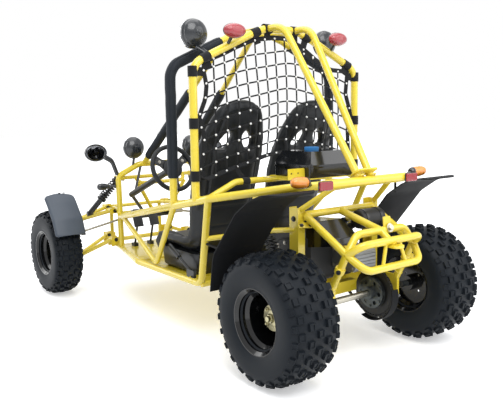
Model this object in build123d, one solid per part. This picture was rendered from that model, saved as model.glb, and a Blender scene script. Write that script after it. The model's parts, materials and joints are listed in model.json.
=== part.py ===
from build123d import *
from math import cos, hypot, radians, sin
import os

# Two-seat dune buggy on a welded tube frame, in millimetres: +X forward, +Y to the driver's left, +Z up.
# Stations along X start at the rear axle. Export moves every piece so that the origin lies on the
# ground under the middle of the vehicle.

# Stance
WHEELBASE = 2000.0
REAR_TRACK = 930.0
FRONT_TRACK = 1290.0

# Tyres and rims
REAR_TYRE_OD = 559.0
REAR_TYRE_WIDTH = 254.0
REAR_RIM_HALF = 101.0
REAR_DISC_SET = 48.0
FRONT_TYRE_OD = 533.0
FRONT_TYRE_WIDTH = 178.0
FRONT_RIM_HALF = 70.0
FRONT_DISC_SET = 16.0
KNOB_HEIGHT = 13.0
KNOB_LENGTH = 30.0
KNOB_SINK = 6.0
KNOBS_ROUND = 24
# Rows of knobs: offset from the tyre's middle, drop of the foot, lean outwards in degrees, stagger in steps
REAR_KNOB_ROWS = ((0.0, 0.0, 0.0, 0.0), (45.0, 1.0, 4.0, 0.5), (87.0, 8.0, 22.0, 0.0))
FRONT_KNOB_ROWS = ((0.0, 0.0, 0.0, 0.0), (34.0, 2.0, 6.0, 0.5), (64.0, 10.0, 28.0, 0.0))
BEAD_RADIUS = 127.0
FLANGE_RISE = 13.0
DROP_DEPTH = 17.0
RIM_WALL = 4.0
DISC_THICKNESS = 6.0
HUB_RADIUS = 38.0
WHEEL_BOLTS = 4
WHEEL_BOLT_CIRCLE = 110.0
WHEEL_BOLT_HOLE = 12.0

# Frame tubes
HOOP_TUBE = 38.0
BELT_TUBE = 36.0
SPINE_TUBE = 34.0
FLOOR_TUBE = 34.0
BRACE_TUBE = 30.0
SMALL_TUBE = 25.0
CROSSBAR_TUBE = 42.0
GUARD_TUBE = 33.0
PAD_OD = 52.0
PLATE = 4.0

# Clearances
SEAT_GAP = 0.3
RUN_GAP = 0.5
JOINT_GAP = 6.0

# Roll cage
MAIN_HOOP_X = 500.0
FRONT_HOOP_X = 700.0
HOOP_HALF = 523.0
HOOP_TOP_Z = 1528.0
HOOP_SHOULDER_Z = HOOP_TOP_Z - 183.0
HOOP_CORNER_Y = 180.0
HOOP_CORNER_Z = HOOP_TOP_Z - 28.0
HOOP_TOP_Y = 95.0
HOOP_BEND = 90.0
SPINE_Y = 86.0
ROOF_FRONT_X = 850.0
ROOF_REAR_X = 380.0
PAD_FOOT_Z = 817.0
STAY_PAD_TOP_Z = 1250.0

# Cowl and nose
COWL_X = WHEELBASE - 230.0
COWL_HALF = 298.0
COWL_SHOULDER_Z = 742.0
COWL_TOP_X = COWL_X - 70.0
COWL_TOP_Y = 185.0
COWL_TOP_Z = 818.0
NOSE_X = WHEELBASE + 130.0
NOSE_HALF = 190.0
NOSE_TOP_Z = 500.0

# Belt and floor rails
BELT_FRONT_Z = 480.0
BELT_SEAT_X = 400.0
BELT_SEAT_Y = 515.0
BELT_SEAT_Z = 742.0
FLOOR_Z = 298.0
FLOOR_HALF = 450.0
FLOOR_FRONT_X = 1240.0
FLOOR_REAR_X = 586.0
NOSE_FLOOR_Z = 262.0
VEE_X = 1030.0
CROSSBAR_X = -70.0
CROSSBAR_HALF = 250.0
CROSSBAR_Z = 818.0
SEATBAR_X = 410.0
SEATBAR_HALF = 360.0
SEATBAR_Z = 806.0

# Rear frame and guard
UPRIGHT_X = 120.0
UPRIGHT_Y = 238.0
UPRIGHT_WIDTH = 58.0
UPRIGHT_TOP_Z = 705.0
GUARD_FRONT_X = 92.0
GUARD_FRONT_Z = 672.0
GUARD_HALF = 215.0
GUARD_REAR_X = -160.0
GUARD_REAR_Z = 530.0
GUARD_FOOT_X = -62.0
GUARD_FOOT_Z = 345.0
BUMPER_X = -222.0
BUMPER_TOP_Z = 575.0
BUMPER_LOW_Z = 466.0
TOW_X = -258.0
TOW_Z = 552.0
TOW_PIN = 16.0

# Rear axle and swingarm
AXLE_RADIUS = 15.0
SWING_PIVOT_X = 500.0
SWING_PIVOT_Z = 330.0
SWING_Y = 208.0
SWING_TUBE = 40.0
BEARING_RADIUS = 42.0
BEARING_WIDTH = 44.0
SPROCKET_Y = -132.0
SPROCKET_RADIUS = 108.0
SPROCKET_THICKNESS = 7.0
DRIVE_X = 285.0
DRIVE_Z = 395.0
DRIVE_RADIUS = 36.0
CHAIN_HEIGHT = 14.0
CHAIN_WIDTH = 16.0
REAR_SHOCK_TOP = (312.0, 262.0, 570.0)
REAR_SHOCK_FOOT = (200.0, 226.0, 318.0)

# Engine and exhaust
ENGINE_LOW_Z = 345.0
ENGINE_LEFT = 165.0
ENGINE_RIGHT = -105.0
MUFFLER_X = 18.0
MUFFLER_Z = 632.0
MUFFLER_RADIUS = 44.0

# Front suspension and steering
KINGPIN_Y = FRONT_TRACK / 2 - 125.0
KINGPIN_RADIUS = 14.0
BALL_PIN = 8.0
UPPER_BALL_Z = 446.0
LOWER_BALL_Z = 205.0
ARM_TUBE = 26.0
ARM_REAR_X = WHEELBASE - 95.0
ARM_FRONT_X = WHEELBASE + 95.0
UPPER_PIVOT_Z = 505.0
LOWER_PIVOT_Z = 312.0
PIVOT_OUT = 42.0
PIVOT_BOSS = 34.0
LUG_REACH = 26.0
LUG_HALF = 17.0
SHOCK_TOP = (COWL_X + 42.0, COWL_HALF - 20.0, 726.0)
SHOCK_FOOT = (WHEELBASE - 48.0, KINGPIN_Y - 95.0, 496.0)
SHOCK_LUG = 20.0
STEER_ARM_X = WHEELBASE - 150.0
STEER_ARM_Z = 385.0
RACK_Z = 462.0
RACK_HALF = 215.0
RACK_RADIUS = 13.0
TIE_ROD = 14.0
STEER_WHEEL_X = 1165.0
STEER_WHEEL_Y = 250.0
STEER_WHEEL_Z = 823.0
STEER_WHEEL_RADIUS = 140.0
STEER_GRIP = 26.0
STEER_TILT = 20.5
PEDAL_X = COWL_X - 120.0
PEDAL_Y = 205.0
LEVER_Y = 446.0
LEVER_END = (890.0, LEVER_Y, 445.0)
COLUMN_TUBE = 38.0
COLUMN_END_X = COWL_X - 80.0
COLUMN_START = 34.0
SHAFT_RADIUS = 11.0
SHAFT_SEAT = 90.0
HOUSING_HALF = 115.0
HOUSING_RADIUS = 22.0

# Fenders
# Front fender's line in side view from the axle, in tyre radii
FENDER_LINE = ((-0.18, 1.41), (-0.33, 1.41), (-0.525, 1.23), (-0.833, 0.89), (-1.0, 0.53))
FENDER_OVERHANG = 14.0
FENDER_WALL = 5.0
FENDER_STAY = 12.0
REAR_FENDER_IN = 330.0
REAR_FENDER_OUT = 595.0
REAR_FENDER_LINE = ((292.0, 350.0), (264.0, 515.0), (95.0, 716.0), (0.0, 777.0), (-85.0, 806.0), (-132.0, 802.0))
REAR_FENDER_CORNER = 62.0

# Seats, net and tank
SEAT_Y = 238.0
SEAT_WIDTH = 420.0
CUSHION_WIDTH = 372.0
SEAT_BASE_WIDTH = 320.0
SEAT_TOP_WIDTH = 250.0
SEAT_BACK_X = 520.0
SEAT_TOP_Z = 1200.0
SEAT_RECLINE = 11.0
SEAT_THICK = 78.0
SEAT_CUSHION_Z = 440.0
SEAT_LENGTH = 430.0
SEAT_EDGE = 14.0
SEAT_ARCH = 110.0
NET_THICKNESS = 8.0
NET_LIFT = 40.0
TANK_REAR_X = 130.0
TANK_LENGTH = 260.0
TANK_HALF = 145.0
TANK_HEIGHT = 118.0
TANK_BEVEL = 60.0
CAP_RADIUS = 32.0
CAP_HEIGHT = 16.0

# Lamps and mirrors
LAMP_RADIUS = 64.0
LAMP_DEPTH = 74.0
HEADLAMP_Y = COWL_TOP_Y + 37.0
HEADLAMP_Z = 930.0
SPOT_Y = 424.0
SPOT_Z = HOOP_TOP_Z - 23.0
SPOT_X = 630.0
TAIL_Y = 330.0
TAIL_Z = HOOP_TOP_Z - 32.0
LAMP_STEM = 16.0
MIRROR_X = COWL_X + 10.0
MIRROR_Y = COWL_HALF + 142.0
MIRROR_Z = 897.0

MID_X = (WHEELBASE + FRONT_TYRE_OD / 2 - REAR_TYRE_OD / 2) / 2
REAR_AXLE_Z = REAR_TYRE_OD / 2
FRONT_AXLE_Z = FRONT_TYRE_OD / 2
FLOOR_TOP = FLOOR_Z + PLATE


def tube(points, diameter, bend=0.0):
    """A round tube along straight runs, each corner bent to one radius."""
    path = FilletPolyline(*points, radius=bend) if len(points) > 2 else Line(*points)
    section = Plane(origin=path @ 0, z_dir=path % 0) * Circle(diameter / 2)
    return sweep(section, path=path)


def weld(shapes):
    """Several overlapping pieces joined into one."""
    return shapes[0] + shapes[1:]


def flip(shape):
    """The same piece on the other side of the vehicle."""
    return mirror(shape, about=Plane.XZ)


def both(shape):
    """A left piece with its right twin."""
    return shape + flip(shape)


def across(points):
    """A left half route, carried on through its mirror image to the right."""
    return points + [(x, -y, z) for x, y, z in reversed(points)]


def between(start, end, share):
    """The point at a share of the way along a straight run."""
    return tuple(a + (b - a) * share for a, b in zip(start, end))


def at_x(start, end, x):
    """The point at station x on the line through two points."""
    return between(start, end, (x - start[0]) / (end[0] - start[0]))


def at_z(start, end, z):
    """The point at height z on the line through two points."""
    return between(start, end, (z - start[2]) / (end[2] - start[2]))


def lying(center, radius, width):
    """A disc or shaft whose axis lies across the vehicle."""
    return Pos(*center) * Rot(90, 0, 0) * Cylinder(radius, width)


def box(low, high):
    """A block between two corners."""
    size = [h - l for l, h in zip(low, high)]
    middle = [(l + h) / 2 for l, h in zip(low, high)]
    return Pos(*middle) * Box(*size)


# Points that several tubes share
BELT_FRONT = (COWL_X, COWL_HALF, BELT_FRONT_Z)
BELT_HOOP = (FRONT_HOOP_X, HOOP_HALF, 680.0)
BELT_SEAT = (BELT_SEAT_X, BELT_SEAT_Y, BELT_SEAT_Z)
BELT_TAIL = (40.0, 352.0, 805.0)
BELT_REAR = (CROSSBAR_X, CROSSBAR_HALF, CROSSBAR_Z)
FLOOR_NOSE = (NOSE_X, NOSE_HALF, NOSE_FLOOR_Z)
FLOOR_FRONT = (FLOOR_FRONT_X, FLOOR_HALF, FLOOR_Z)
FLOOR_REAR = (FLOOR_REAR_X, FLOOR_HALF, FLOOR_Z)
NOSE_TOP = (NOSE_X, NOSE_HALF, NOSE_TOP_Z)
NOSE_RAIL = (COWL_X, COWL_HALF, BELT_FRONT_Z + 40.0)
COWL_FOOT = at_x(FLOOR_FRONT, FLOOR_NOSE, COWL_X)
SPINE_FOOT = (COWL_TOP_X, 150.0, COWL_TOP_Z)
SPINE_BEND = (ROOF_FRONT_X, SPINE_Y, HOOP_TOP_Z)
SPINE_REAR = (ROOF_REAR_X, SPINE_Y, HOOP_TOP_Z)
SPINE_TAIL = (CROSSBAR_X, 36.0, CROSSBAR_Z)
UPPER_BALL = (WHEELBASE, KINGPIN_Y, UPPER_BALL_Z)
LOWER_BALL = (WHEELBASE, KINGPIN_Y, LOWER_BALL_Z)


def hoop_route(x):
    """A roll hoop's left half, from its foot on the belt rail to the roof."""
    foot = at_x(BELT_HOOP, BELT_SEAT, x)
    return [
        (x, HOOP_HALF, foot[2]),
        (x, HOOP_HALF, HOOP_SHOULDER_Z),
        (x, HOOP_CORNER_Y, HOOP_CORNER_Z),
        (x, HOOP_TOP_Y, HOOP_TOP_Z),
    ]


def side_frame():
    """Left belt rail, floor rail with its rear post, and the vee brace."""
    belt = tube([BELT_FRONT, BELT_HOOP, BELT_SEAT, BELT_TAIL, BELT_REAR], BELT_TUBE, 90)
    post_top = at_x(BELT_SEAT, BELT_HOOP, BELT_SEAT_X + 10)
    floor = tube([FLOOR_NOSE, FLOOR_FRONT, FLOOR_REAR, post_top], FLOOR_TUBE, 70)
    vee_front = at_x(BELT_FRONT, BELT_HOOP, COWL_X - 70)
    vee_low = (VEE_X, FLOOR_HALF, FLOOR_Z + FLOOR_TUBE / 2 + BRACE_TUBE / 2 - 3)
    vee = tube([vee_front, vee_low, BELT_HOOP], BRACE_TUBE, 55)
    return belt + floor + vee


def floor_frame():
    """Cross tubes between the floor rails, the floor plate and the swingarm's pivot lugs."""
    frame = None
    for x in (FLOOR_REAR_X, FLOOR_FRONT_X, COWL_X, NOSE_X):
        y = FLOOR_HALF if x <= FLOOR_FRONT_X else at_x(FLOOR_FRONT, FLOOR_NOSE, x)[1]
        z = FLOOR_Z if x <= FLOOR_FRONT_X else at_x(FLOOR_FRONT, FLOOR_NOSE, x)[2]
        bar = tube([(x, y, z), (x, -y, z)], BRACE_TUBE)
        frame = bar if frame is None else frame + bar
    outline = [
        (FLOOR_REAR_X, FLOOR_HALF),
        (FLOOR_FRONT_X, FLOOR_HALF),
        (COWL_X, COWL_FOOT[1]),
    ]
    outline += [(x, -y) for x, y in reversed(outline)]
    plate = Pos(0, 0, FLOOR_Z) * extrude(make_face(Polyline(*outline, close=True)), PLATE)
    frame += plate
    for y in (-SWING_Y - 34, -SWING_Y + 34, SWING_Y - 34, SWING_Y + 34):
        lug = box((SWING_PIVOT_X - 24, y - 3, FLOOR_Z - 14), (FLOOR_REAR_X, y + 3, SWING_PIVOT_Z + 24))
        frame += lug
    return frame


def cowl_hoop():
    """The cowl's hoop, upright from the floor rails and leaning back over its top."""
    shoulder = (COWL_X, COWL_HALF, COWL_SHOULDER_Z)
    top = (COWL_TOP_X, COWL_TOP_Y, COWL_TOP_Z)
    return tube(across([COWL_FOOT, shoulder, top]), BELT_TUBE, 50)


def rail_point(x, pivot_z):
    """The point at station x on the rail that carries a front wishbone, the nose rail or the floor rail."""
    start, end = (NOSE_RAIL, NOSE_TOP) if pivot_z == UPPER_PIVOT_Z else (FLOOR_FRONT, FLOOR_NOSE)
    return at_x(start, end, x)


def pivot_point(x, pivot_z):
    """Centre of a front wishbone's left pivot at station x."""
    return (x, rail_point(x, pivot_z)[1] + PIVOT_OUT, pivot_z)


def front_frame():
    """Cowl hoop with its cross tubes and bracing, nose rails, pivot lugs and shock mounts."""
    cowl = cowl_hoop()
    low_x = COWL_X - 30
    bars = [
        [(COWL_X, COWL_HALF, COWL_SHOULDER_Z - 12), (COWL_X, -COWL_HALF, COWL_SHOULDER_Z - 12)],
        [(COWL_X, 175, COWL_SHOULDER_Z - 12), (low_x, 175, 690), (low_x, -175, 690),
         (COWL_X, -175, COWL_SHOULDER_Z - 12)],
        [(COWL_X, COWL_HALF, BELT_FRONT_Z + 22), (COWL_X, -COWL_HALF, BELT_FRONT_Z + 22)],
        across([NOSE_RAIL, NOSE_TOP]),
    ]
    shapes = [cowl] + [tube(route, SMALL_TUBE, 40) for route in bars]
    for side in (1, -1):
        brace = [(low_x, side * 175, 690), (COWL_X, side * 60, BELT_FRONT_Z + 22)]
        post = [(NOSE_X, side * NOSE_HALF, NOSE_FLOOR_Z), (NOSE_X, side * NOSE_HALF, NOSE_TOP_Z)]
        shapes += [tube(brace, SMALL_TUBE), tube(post, SMALL_TUBE)]
    lugs = []
    for x in (ARM_REAR_X, ARM_FRONT_X):
        for z in (UPPER_PIVOT_Z, LOWER_PIVOT_Z):
            rail_y, rail_z = rail_point(x, z)[1:]
            foot = min(rail_z, z - LUG_HALF)
            for end in (x - LUG_REACH, x + LUG_REACH):
                high = (end + PLATE / 2, rail_y + PIVOT_OUT + LUG_HALF, z + LUG_HALF)
                lugs.append(box((end - PLATE / 2, rail_y - 5, foot), high))
    for y in (SHOCK_TOP[1] - SHOCK_LUG, SHOCK_TOP[1] + SHOCK_LUG):
        low = (COWL_X, y - PLATE / 2, SHOCK_TOP[2] - LUG_HALF)
        lugs.append(box(low, (SHOCK_TOP[0] + LUG_HALF, y + PLATE / 2, SHOCK_TOP[2] + LUG_HALF)))
    return weld(shapes + lugs + [flip(lug) for lug in lugs])


def hoop(x):
    """One roll hoop, from belt rail to belt rail."""
    return tube(across(hoop_route(x)), HOOP_TUBE, HOOP_BEND)


def spine():
    """The left of the two long tubes that run from cowl over both hoops to the rear crossbar."""
    return tube([SPINE_FOOT, SPINE_BEND, SPINE_REAR, SPINE_TAIL], SPINE_TUBE, 110)


def foam_pads():
    """Foam sleeves on the front hoop's sides and on the two front stays."""
    route = hoop_route(FRONT_HOOP_X)
    low = (FRONT_HOOP_X, HOOP_HALF, PAD_FOOT_Z)
    high = between(route[1], route[2], 0.86)
    hoop_pad = tube([low, route[1], high], PAD_OD, HOOP_BEND)
    hoop_pad -= tube(route, HOOP_TUBE + 2 * SEAT_GAP, HOOP_BEND)
    stay_low = between(SPINE_FOOT, SPINE_BEND, 0.07)
    stay_high = at_z(SPINE_FOOT, SPINE_BEND, STAY_PAD_TOP_Z)
    stay_pad = tube([stay_low, stay_high], PAD_OD)
    stay_pad -= tube([SPINE_FOOT, SPINE_BEND], SPINE_TUBE + 2 * SEAT_GAP)
    return both(hoop_pad) + both(stay_pad)


def rear_frame():
    """Rear crossbar, seat crossbar, upright channels and the tubes that carry them."""
    frame = tube([(CROSSBAR_X, CROSSBAR_HALF + 10, CROSSBAR_Z), (CROSSBAR_X, -CROSSBAR_HALF - 10, CROSSBAR_Z)],
                 CROSSBAR_TUBE)
    channel = box(
        (UPRIGHT_X - UPRIGHT_WIDTH / 2, UPRIGHT_Y - 20, REAR_AXLE_Z + 20),
        (UPRIGHT_X + UPRIGHT_WIDTH / 2, UPRIGHT_Y + 20, UPRIGHT_TOP_Z),
    )
    channel -= box(
        (UPRIGHT_X - UPRIGHT_WIDTH / 2 + PLATE, UPRIGHT_Y - 20 - PLATE, REAR_AXLE_Z),
        (UPRIGHT_X + UPRIGHT_WIDTH / 2 - PLATE, UPRIGHT_Y + 20 - PLATE, UPRIGHT_TOP_Z + PLATE),
    )
    post = between(FLOOR_REAR, BELT_SEAT, 0.55)
    rail = tube([(UPRIGHT_X, UPRIGHT_Y + 10, 605), (300, UPRIGHT_Y + 24, 578), post], SMALL_TUBE, 60)
    strut = tube([(CROSSBAR_X, 165, CROSSBAR_Z), (UPRIGHT_X - 20, UPRIGHT_Y, UPRIGHT_TOP_Z - 12)], SMALL_TUBE)
    half = channel + rail + strut
    return frame + half + flip(half)


def seat_bar():
    """Crossbar behind the seats, its ends bent down to the belt rails."""
    end = at_x(BELT_HOOP, BELT_SEAT, SEATBAR_X)
    return tube(across([end, (SEATBAR_X, SEATBAR_HALF, SEATBAR_Z)]), BRACE_TUBE, 70)


def engine_guard():
    """Engine guard and rear bumper with the tow plate and its pin hole."""
    corner = (GUARD_REAR_X, GUARD_HALF, GUARD_REAR_Z)
    front = (GUARD_FRONT_X, GUARD_HALF, GUARD_FRONT_Z)
    foot = (GUARD_FOOT_X, GUARD_HALF, GUARD_FOOT_Z)
    brow = [corner, (GUARD_REAR_X + 5, 150, 608), (GUARD_REAR_X + 5, 60, 612)]
    upper = [corner, (BUMPER_X, 185, BUMPER_TOP_Z), (BUMPER_X, 60, BUMPER_TOP_Z)]
    lower = [corner, (BUMPER_X - 12, 170, BUMPER_LOW_Z), (BUMPER_X - 12, 60, BUMPER_LOW_Z)]
    guard = tube(across([front]), GUARD_TUBE)
    for route in (brow, upper, lower):
        guard += tube(across(route[:2]), GUARD_TUBE, 55)
    for side in (1, -1):
        for route in ([front, corner], [corner, foot]):
            guard += tube([(x, side * y, z) for x, y, z in route], GUARD_TUBE)
        strut = [(BUMPER_X, side * 40, BUMPER_TOP_Z), (BUMPER_X - 12, side * 75, BUMPER_LOW_Z)]
        guard += tube(strut, 16)
    guard += tube([(GUARD_FRONT_X, 0, GUARD_FRONT_Z), (GUARD_REAR_X + 5, 0, 608), (TOW_X + 30, 0, TOW_Z)],
                  GUARD_TUBE, 60)
    plate = box((TOW_X - 12, -30, TOW_Z - 5), (TOW_X + 60, 30, TOW_Z + 5))
    plate = fillet(plate.edges().filter_by(Axis.Z).group_by(Axis.X)[0], 18)
    guard += plate
    guard -= Pos(TOW_X + 10, 0, TOW_Z) * Cylinder(TOW_PIN / 2, 80)
    return guard


def swingarm():
    """Swingarm: pivot tubes, side arms, box cross member and the axle's bearing housings."""
    axle = (0, SWING_Y, REAR_AXLE_Z)
    pivot = (SWING_PIVOT_X, SWING_Y, SWING_PIVOT_Z)
    arm = tube([pivot, axle], SWING_TUBE)
    arm += lying(pivot, 24, 60)
    arm += lying(axle, BEARING_RADIUS, BEARING_WIDTH)
    arm += box((GUARD_FOOT_X - 20, SWING_Y - 8, REAR_AXLE_Z - 10), (0, SWING_Y + 8, GUARD_FOOT_Z + 20))
    arm += flip(arm)
    arm += box((62, SPROCKET_Y + 50, 285), (102, SWING_Y, 338))
    arm += box((146, -SWING_Y, 285), (182, SWING_Y, ENGINE_LOW_Z - SEAT_GAP))
    arm -= lying((0, 0, REAR_AXLE_Z), AXLE_RADIUS + RUN_GAP, 2 * SWING_Y + 2 * BEARING_WIDTH)
    return arm


def knob(radius, width, offset, lean, turn):
    """One tread knob, its foot at a radius and an offset from the tyre's middle."""
    height = KNOB_HEIGHT + KNOB_SINK
    block = Pos(0, 0, (KNOB_HEIGHT - KNOB_SINK) / 2) * Box(KNOB_LENGTH, width, height)
    return Rot(0, turn, 0) * Pos(0, offset, radius) * Rot(-lean, 0, 0) * block


def tyre(radius, width, rim_half, rows):
    """A tyre about the Y axis: a carcass from bead to bead with rows of tread knobs."""
    half = width / 2
    crown = radius - KNOB_HEIGHT
    side = [
        (BEAD_RADIUS + SEAT_GAP, rim_half - 1),
        (BEAD_RADIUS + FLANGE_RISE, rim_half + FLANGE_RISE - 1.5),
        (BEAD_RADIUS + 46, half),
        (crown - 33, half),
        (crown - 14, half - 20),
        (crown, half - 58),
    ]
    outline = side + [(r, -y) for r, y in reversed(side)]
    carcass = revolve(make_face(Polyline(*outline, close=True)), Axis.Y)
    knobs = []
    for offset, drop, lean, stagger in rows:
        for way in (1, -1) if offset else (1,):
            for step in range(KNOBS_ROUND):
                turn = 180 + (step + stagger) * 360 / KNOBS_ROUND
                knobs.append(knob(crown - drop, KNOB_LENGTH - 2, way * offset, way * lean, turn))
    return carcass + knobs


def rim(rim_half, disc_set, bore):
    """A deep-dish steel rim about the Y axis, its outer face towards +Y."""
    side = [
        (BEAD_RADIUS + FLANGE_RISE, rim_half + FLANGE_RISE),
        (BEAD_RADIUS, rim_half),
        (BEAD_RADIUS - 4, rim_half - 30),
        (BEAD_RADIUS - DROP_DEPTH, rim_half - 44),
    ]
    outer = side + [(r, -y) for r, y in reversed(side)]
    inner = [(r - RIM_WALL, y) for r, y in reversed(outer)]
    barrel = revolve(make_face(Polyline(*outer, *inner, close=True)), Axis.Y)
    disc = Pos(0, -disc_set, 0) * Rot(90, 0, 0) * Cylinder(BEAD_RADIUS - DROP_DEPTH - 1, DISC_THICKNESS)
    hub = Pos(0, -disc_set - 20, 0) * Rot(90, 0, 0) * Cylinder(HUB_RADIUS, 52)
    wheel = barrel + disc + hub
    wheel -= Rot(90, 0, 0) * Cylinder(bore, 400)
    for turn in range(WHEEL_BOLTS):
        angle = radians(45 + turn * 360 / WHEEL_BOLTS)
        spot = (WHEEL_BOLT_CIRCLE / 2 * cos(angle), -disc_set, WHEEL_BOLT_CIRCLE / 2 * sin(angle))
        wheel -= lying(spot, WHEEL_BOLT_HOLE / 2, DISC_THICKNESS * 2)
    return wheel


def front_wheel(shape):
    """A wheel piece moved to the front left wheel's centre."""
    return Pos(WHEELBASE, FRONT_TRACK / 2, FRONT_AXLE_Z) * shape


def rear_wheel(shape):
    """A wheel piece moved to the rear left wheel's centre."""
    return Pos(0, REAR_TRACK / 2, REAR_AXLE_Z) * shape


def rear_axle():
    """Live axle with its sprocket, sprocket carrier and end nuts."""
    end = REAR_TRACK / 2 - REAR_DISC_SET + 26
    axle = lying((0, 0, REAR_AXLE_Z), AXLE_RADIUS, 2 * end)
    axle += lying((0, SPROCKET_Y + 22, REAR_AXLE_Z), 30, 50)
    carrier = lying((0, SPROCKET_Y + 20, REAR_AXLE_Z), 74, 6)
    sprocket = lying((0, SPROCKET_Y, REAR_AXLE_Z), SPROCKET_RADIUS, SPROCKET_THICKNESS)
    for turn in range(6):
        angle = radians(turn * 60)
        spot = (52 * cos(angle), SPROCKET_Y + 20, REAR_AXLE_Z + 52 * sin(angle))
        carrier -= lying(spot, 10, 40)
    axle += carrier + sprocket
    for side in (1, -1):
        axle += lying((0, side * (end - 8), REAR_AXLE_Z), 22, 14)
    return axle


def chain():
    """Drive chain: one loop round the axle sprocket and the engine sprocket."""
    reach = hypot(DRIVE_X, DRIVE_Z - REAR_AXLE_Z)
    inner = [(0, SPROCKET_RADIUS + RUN_GAP), (reach, DRIVE_RADIUS + RUN_GAP)]

    def loop(extra):
        wrap = [Pos(x, 0) * Circle(r + extra) for x, r in inner]
        return make_hull(wrap[0].edges() + wrap[1].edges())

    band = loop(CHAIN_HEIGHT) - loop(0)
    band = extrude(band, CHAIN_WIDTH / 2, both=True)
    tilt = Plane(origin=(0, SPROCKET_Y, REAR_AXLE_Z), x_dir=(DRIVE_X, 0, DRIVE_Z - REAR_AXLE_Z), z_dir=(0, -1, 0))
    return tilt * band


def knuckle():
    """Left steering knuckle: kingpin post, stub axle with its nut, and steering arm."""
    top = (WHEELBASE, KINGPIN_Y, UPPER_BALL_Z - ARM_TUBE / 2 - RUN_GAP)
    low = (WHEELBASE, KINGPIN_Y, LOWER_BALL_Z + ARM_TUBE + 3)
    post = tube([low, top], 2 * KINGPIN_RADIUS)
    pin = tube([LOWER_BALL, UPPER_BALL], 2 * BALL_PIN)
    end = FRONT_TRACK / 2 - FRONT_DISC_SET + 26
    stub = tube([(WHEELBASE, KINGPIN_Y, FRONT_AXLE_Z), (WHEELBASE, end, FRONT_AXLE_Z)], 2 * AXLE_RADIUS)
    stub += lying((WHEELBASE, end - 8, FRONT_AXLE_Z), 20, 14)
    arm = box((STEER_ARM_X - 16, KINGPIN_Y - 12, STEER_ARM_Z - 6), (WHEELBASE, KINGPIN_Y + 12, STEER_ARM_Z + 6))
    return weld([post, pin, stub, arm])


def strip(points, bend, y_low, y_high, thickness):
    """A sheet that is curved in side view and straight across, from y_low to y_high."""
    middle = (y_low + y_high) / 2
    path = FilletPolyline(*[(x, middle, z) for x, z in points], radius=bend)
    section = Plane(origin=path @ 0, x_dir=(0, 1, 0), z_dir=path % 0)
    return sweep(section * Rectangle(y_high - y_low, thickness), path=path)


def front_fender():
    """Left front fender on its bent stay from the knuckle."""
    reach = FRONT_TYRE_OD / 2
    half = FRONT_TYRE_WIDTH / 2
    outline = [(WHEELBASE + reach * x, FRONT_AXLE_Z + reach * z) for x, z in FENDER_LINE]
    middle = FRONT_TRACK / 2
    sheet = strip(outline, 60, middle - half - FENDER_OVERHANG, middle + half, FENDER_WALL)
    x = outline[1][0] + 20
    inner = KINGPIN_Y - 6
    under = outline[1][1] - 6
    stay = tube(
        [(WHEELBASE, KINGPIN_Y, STEER_ARM_Z + 20), (x, inner, STEER_ARM_Z + 70), (x, inner, under - 30),
         (x, middle, under)],
        FENDER_STAY, 16)
    return sheet + stay


def rear_fender():
    """Left rear fender: a sheet in front of and over the tyre, round at the tail, hung from the belt rail."""
    sheet = strip(REAR_FENDER_LINE, 110, REAR_FENDER_IN, REAR_FENDER_OUT, FENDER_WALL)
    tail = REAR_FENDER_LINE[-1][0]
    for y in (REAR_FENDER_IN, REAR_FENDER_OUT):
        inward = REAR_FENDER_CORNER if y == REAR_FENDER_IN else -REAR_FENDER_CORNER
        square = box((tail - 5, min(y, y + inward), 760), (tail + REAR_FENDER_CORNER, max(y, y + inward), 860))
        round_off = Pos(tail + REAR_FENDER_CORNER, y + inward, 810) * Cylinder(REAR_FENDER_CORNER, 120)
        sheet -= square - round_off
    hang = at_x(BELT_SEAT, BELT_TAIL, 75)
    stay = tube([hang, (hang[0], hang[1], 726)], FENDER_STAY)
    foot = between(FLOOR_REAR, BELT_SEAT, 0.5)
    brace = tube([foot, (263, 480, 500)], FENDER_STAY)
    return weld([sheet, stay, brace])


def front_arm(pivot_z, ball):
    """Left wishbone: two legs from the frame's pivots to the ball joint."""
    shapes = [Pos(*ball) * Cylinder(ARM_TUBE / 2 + 3, ARM_TUBE)]
    for x in (ARM_REAR_X, ARM_FRONT_X):
        pivot = pivot_point(x, pivot_z)
        shapes.append(tube([pivot, ball], ARM_TUBE))
        shapes.append(Pos(*pivot) * Rot(0, 90, 0) * Cylinder(PIVOT_BOSS / 2, 2 * LUG_REACH - PLATE - 2 * SEAT_GAP))
    return weld(shapes) - Pos(*ball) * Cylinder(BALL_PIN + RUN_GAP, 3 * ARM_TUBE)


def steering_rack():
    """Steering rack with both tie rods, which slide across the vehicle together."""
    rack = tube([(STEER_ARM_X, RACK_HALF, RACK_Z), (STEER_ARM_X, -RACK_HALF, RACK_Z)], 2 * RACK_RADIUS)
    eye_z = STEER_ARM_Z + 6 + 8 + 1.5
    rod = tube([(STEER_ARM_X, RACK_HALF - 10, RACK_Z), (STEER_ARM_X, KINGPIN_Y, eye_z)], TIE_ROD)
    rod += Pos(STEER_ARM_X, KINGPIN_Y, eye_z) * Cylinder(14, 16)
    return rack + rod + flip(rod)


def column_frame():
    """Plane at the steering wheel's centre, its Z along the column towards the driver."""
    tilt = radians(STEER_TILT)
    return Plane(origin=(STEER_WHEEL_X, STEER_WHEEL_Y, STEER_WHEEL_Z), x_dir=(0, -1, 0),
                 z_dir=(-cos(tilt), 0, sin(tilt)))


def steering_wheel():
    """Steering wheel: grip ring, three spokes, hub and the shaft's upper end."""
    ring = Torus(STEER_WHEEL_RADIUS - STEER_GRIP / 2, STEER_GRIP / 2)
    wheel = ring + Pos(0, 0, -14) * Cylinder(36, 22)
    for angle in (30, 150, 270):
        wheel += Rot(0, 0, angle) * Pos(70, 0, -8) * Box(120, 26, 6)
    shaft = SHAFT_SEAT + COLUMN_START - JOINT_GAP
    wheel += Pos(0, 0, -shaft / 2) * Cylinder(SHAFT_RADIUS, shaft)
    return column_frame() * wheel


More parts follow.
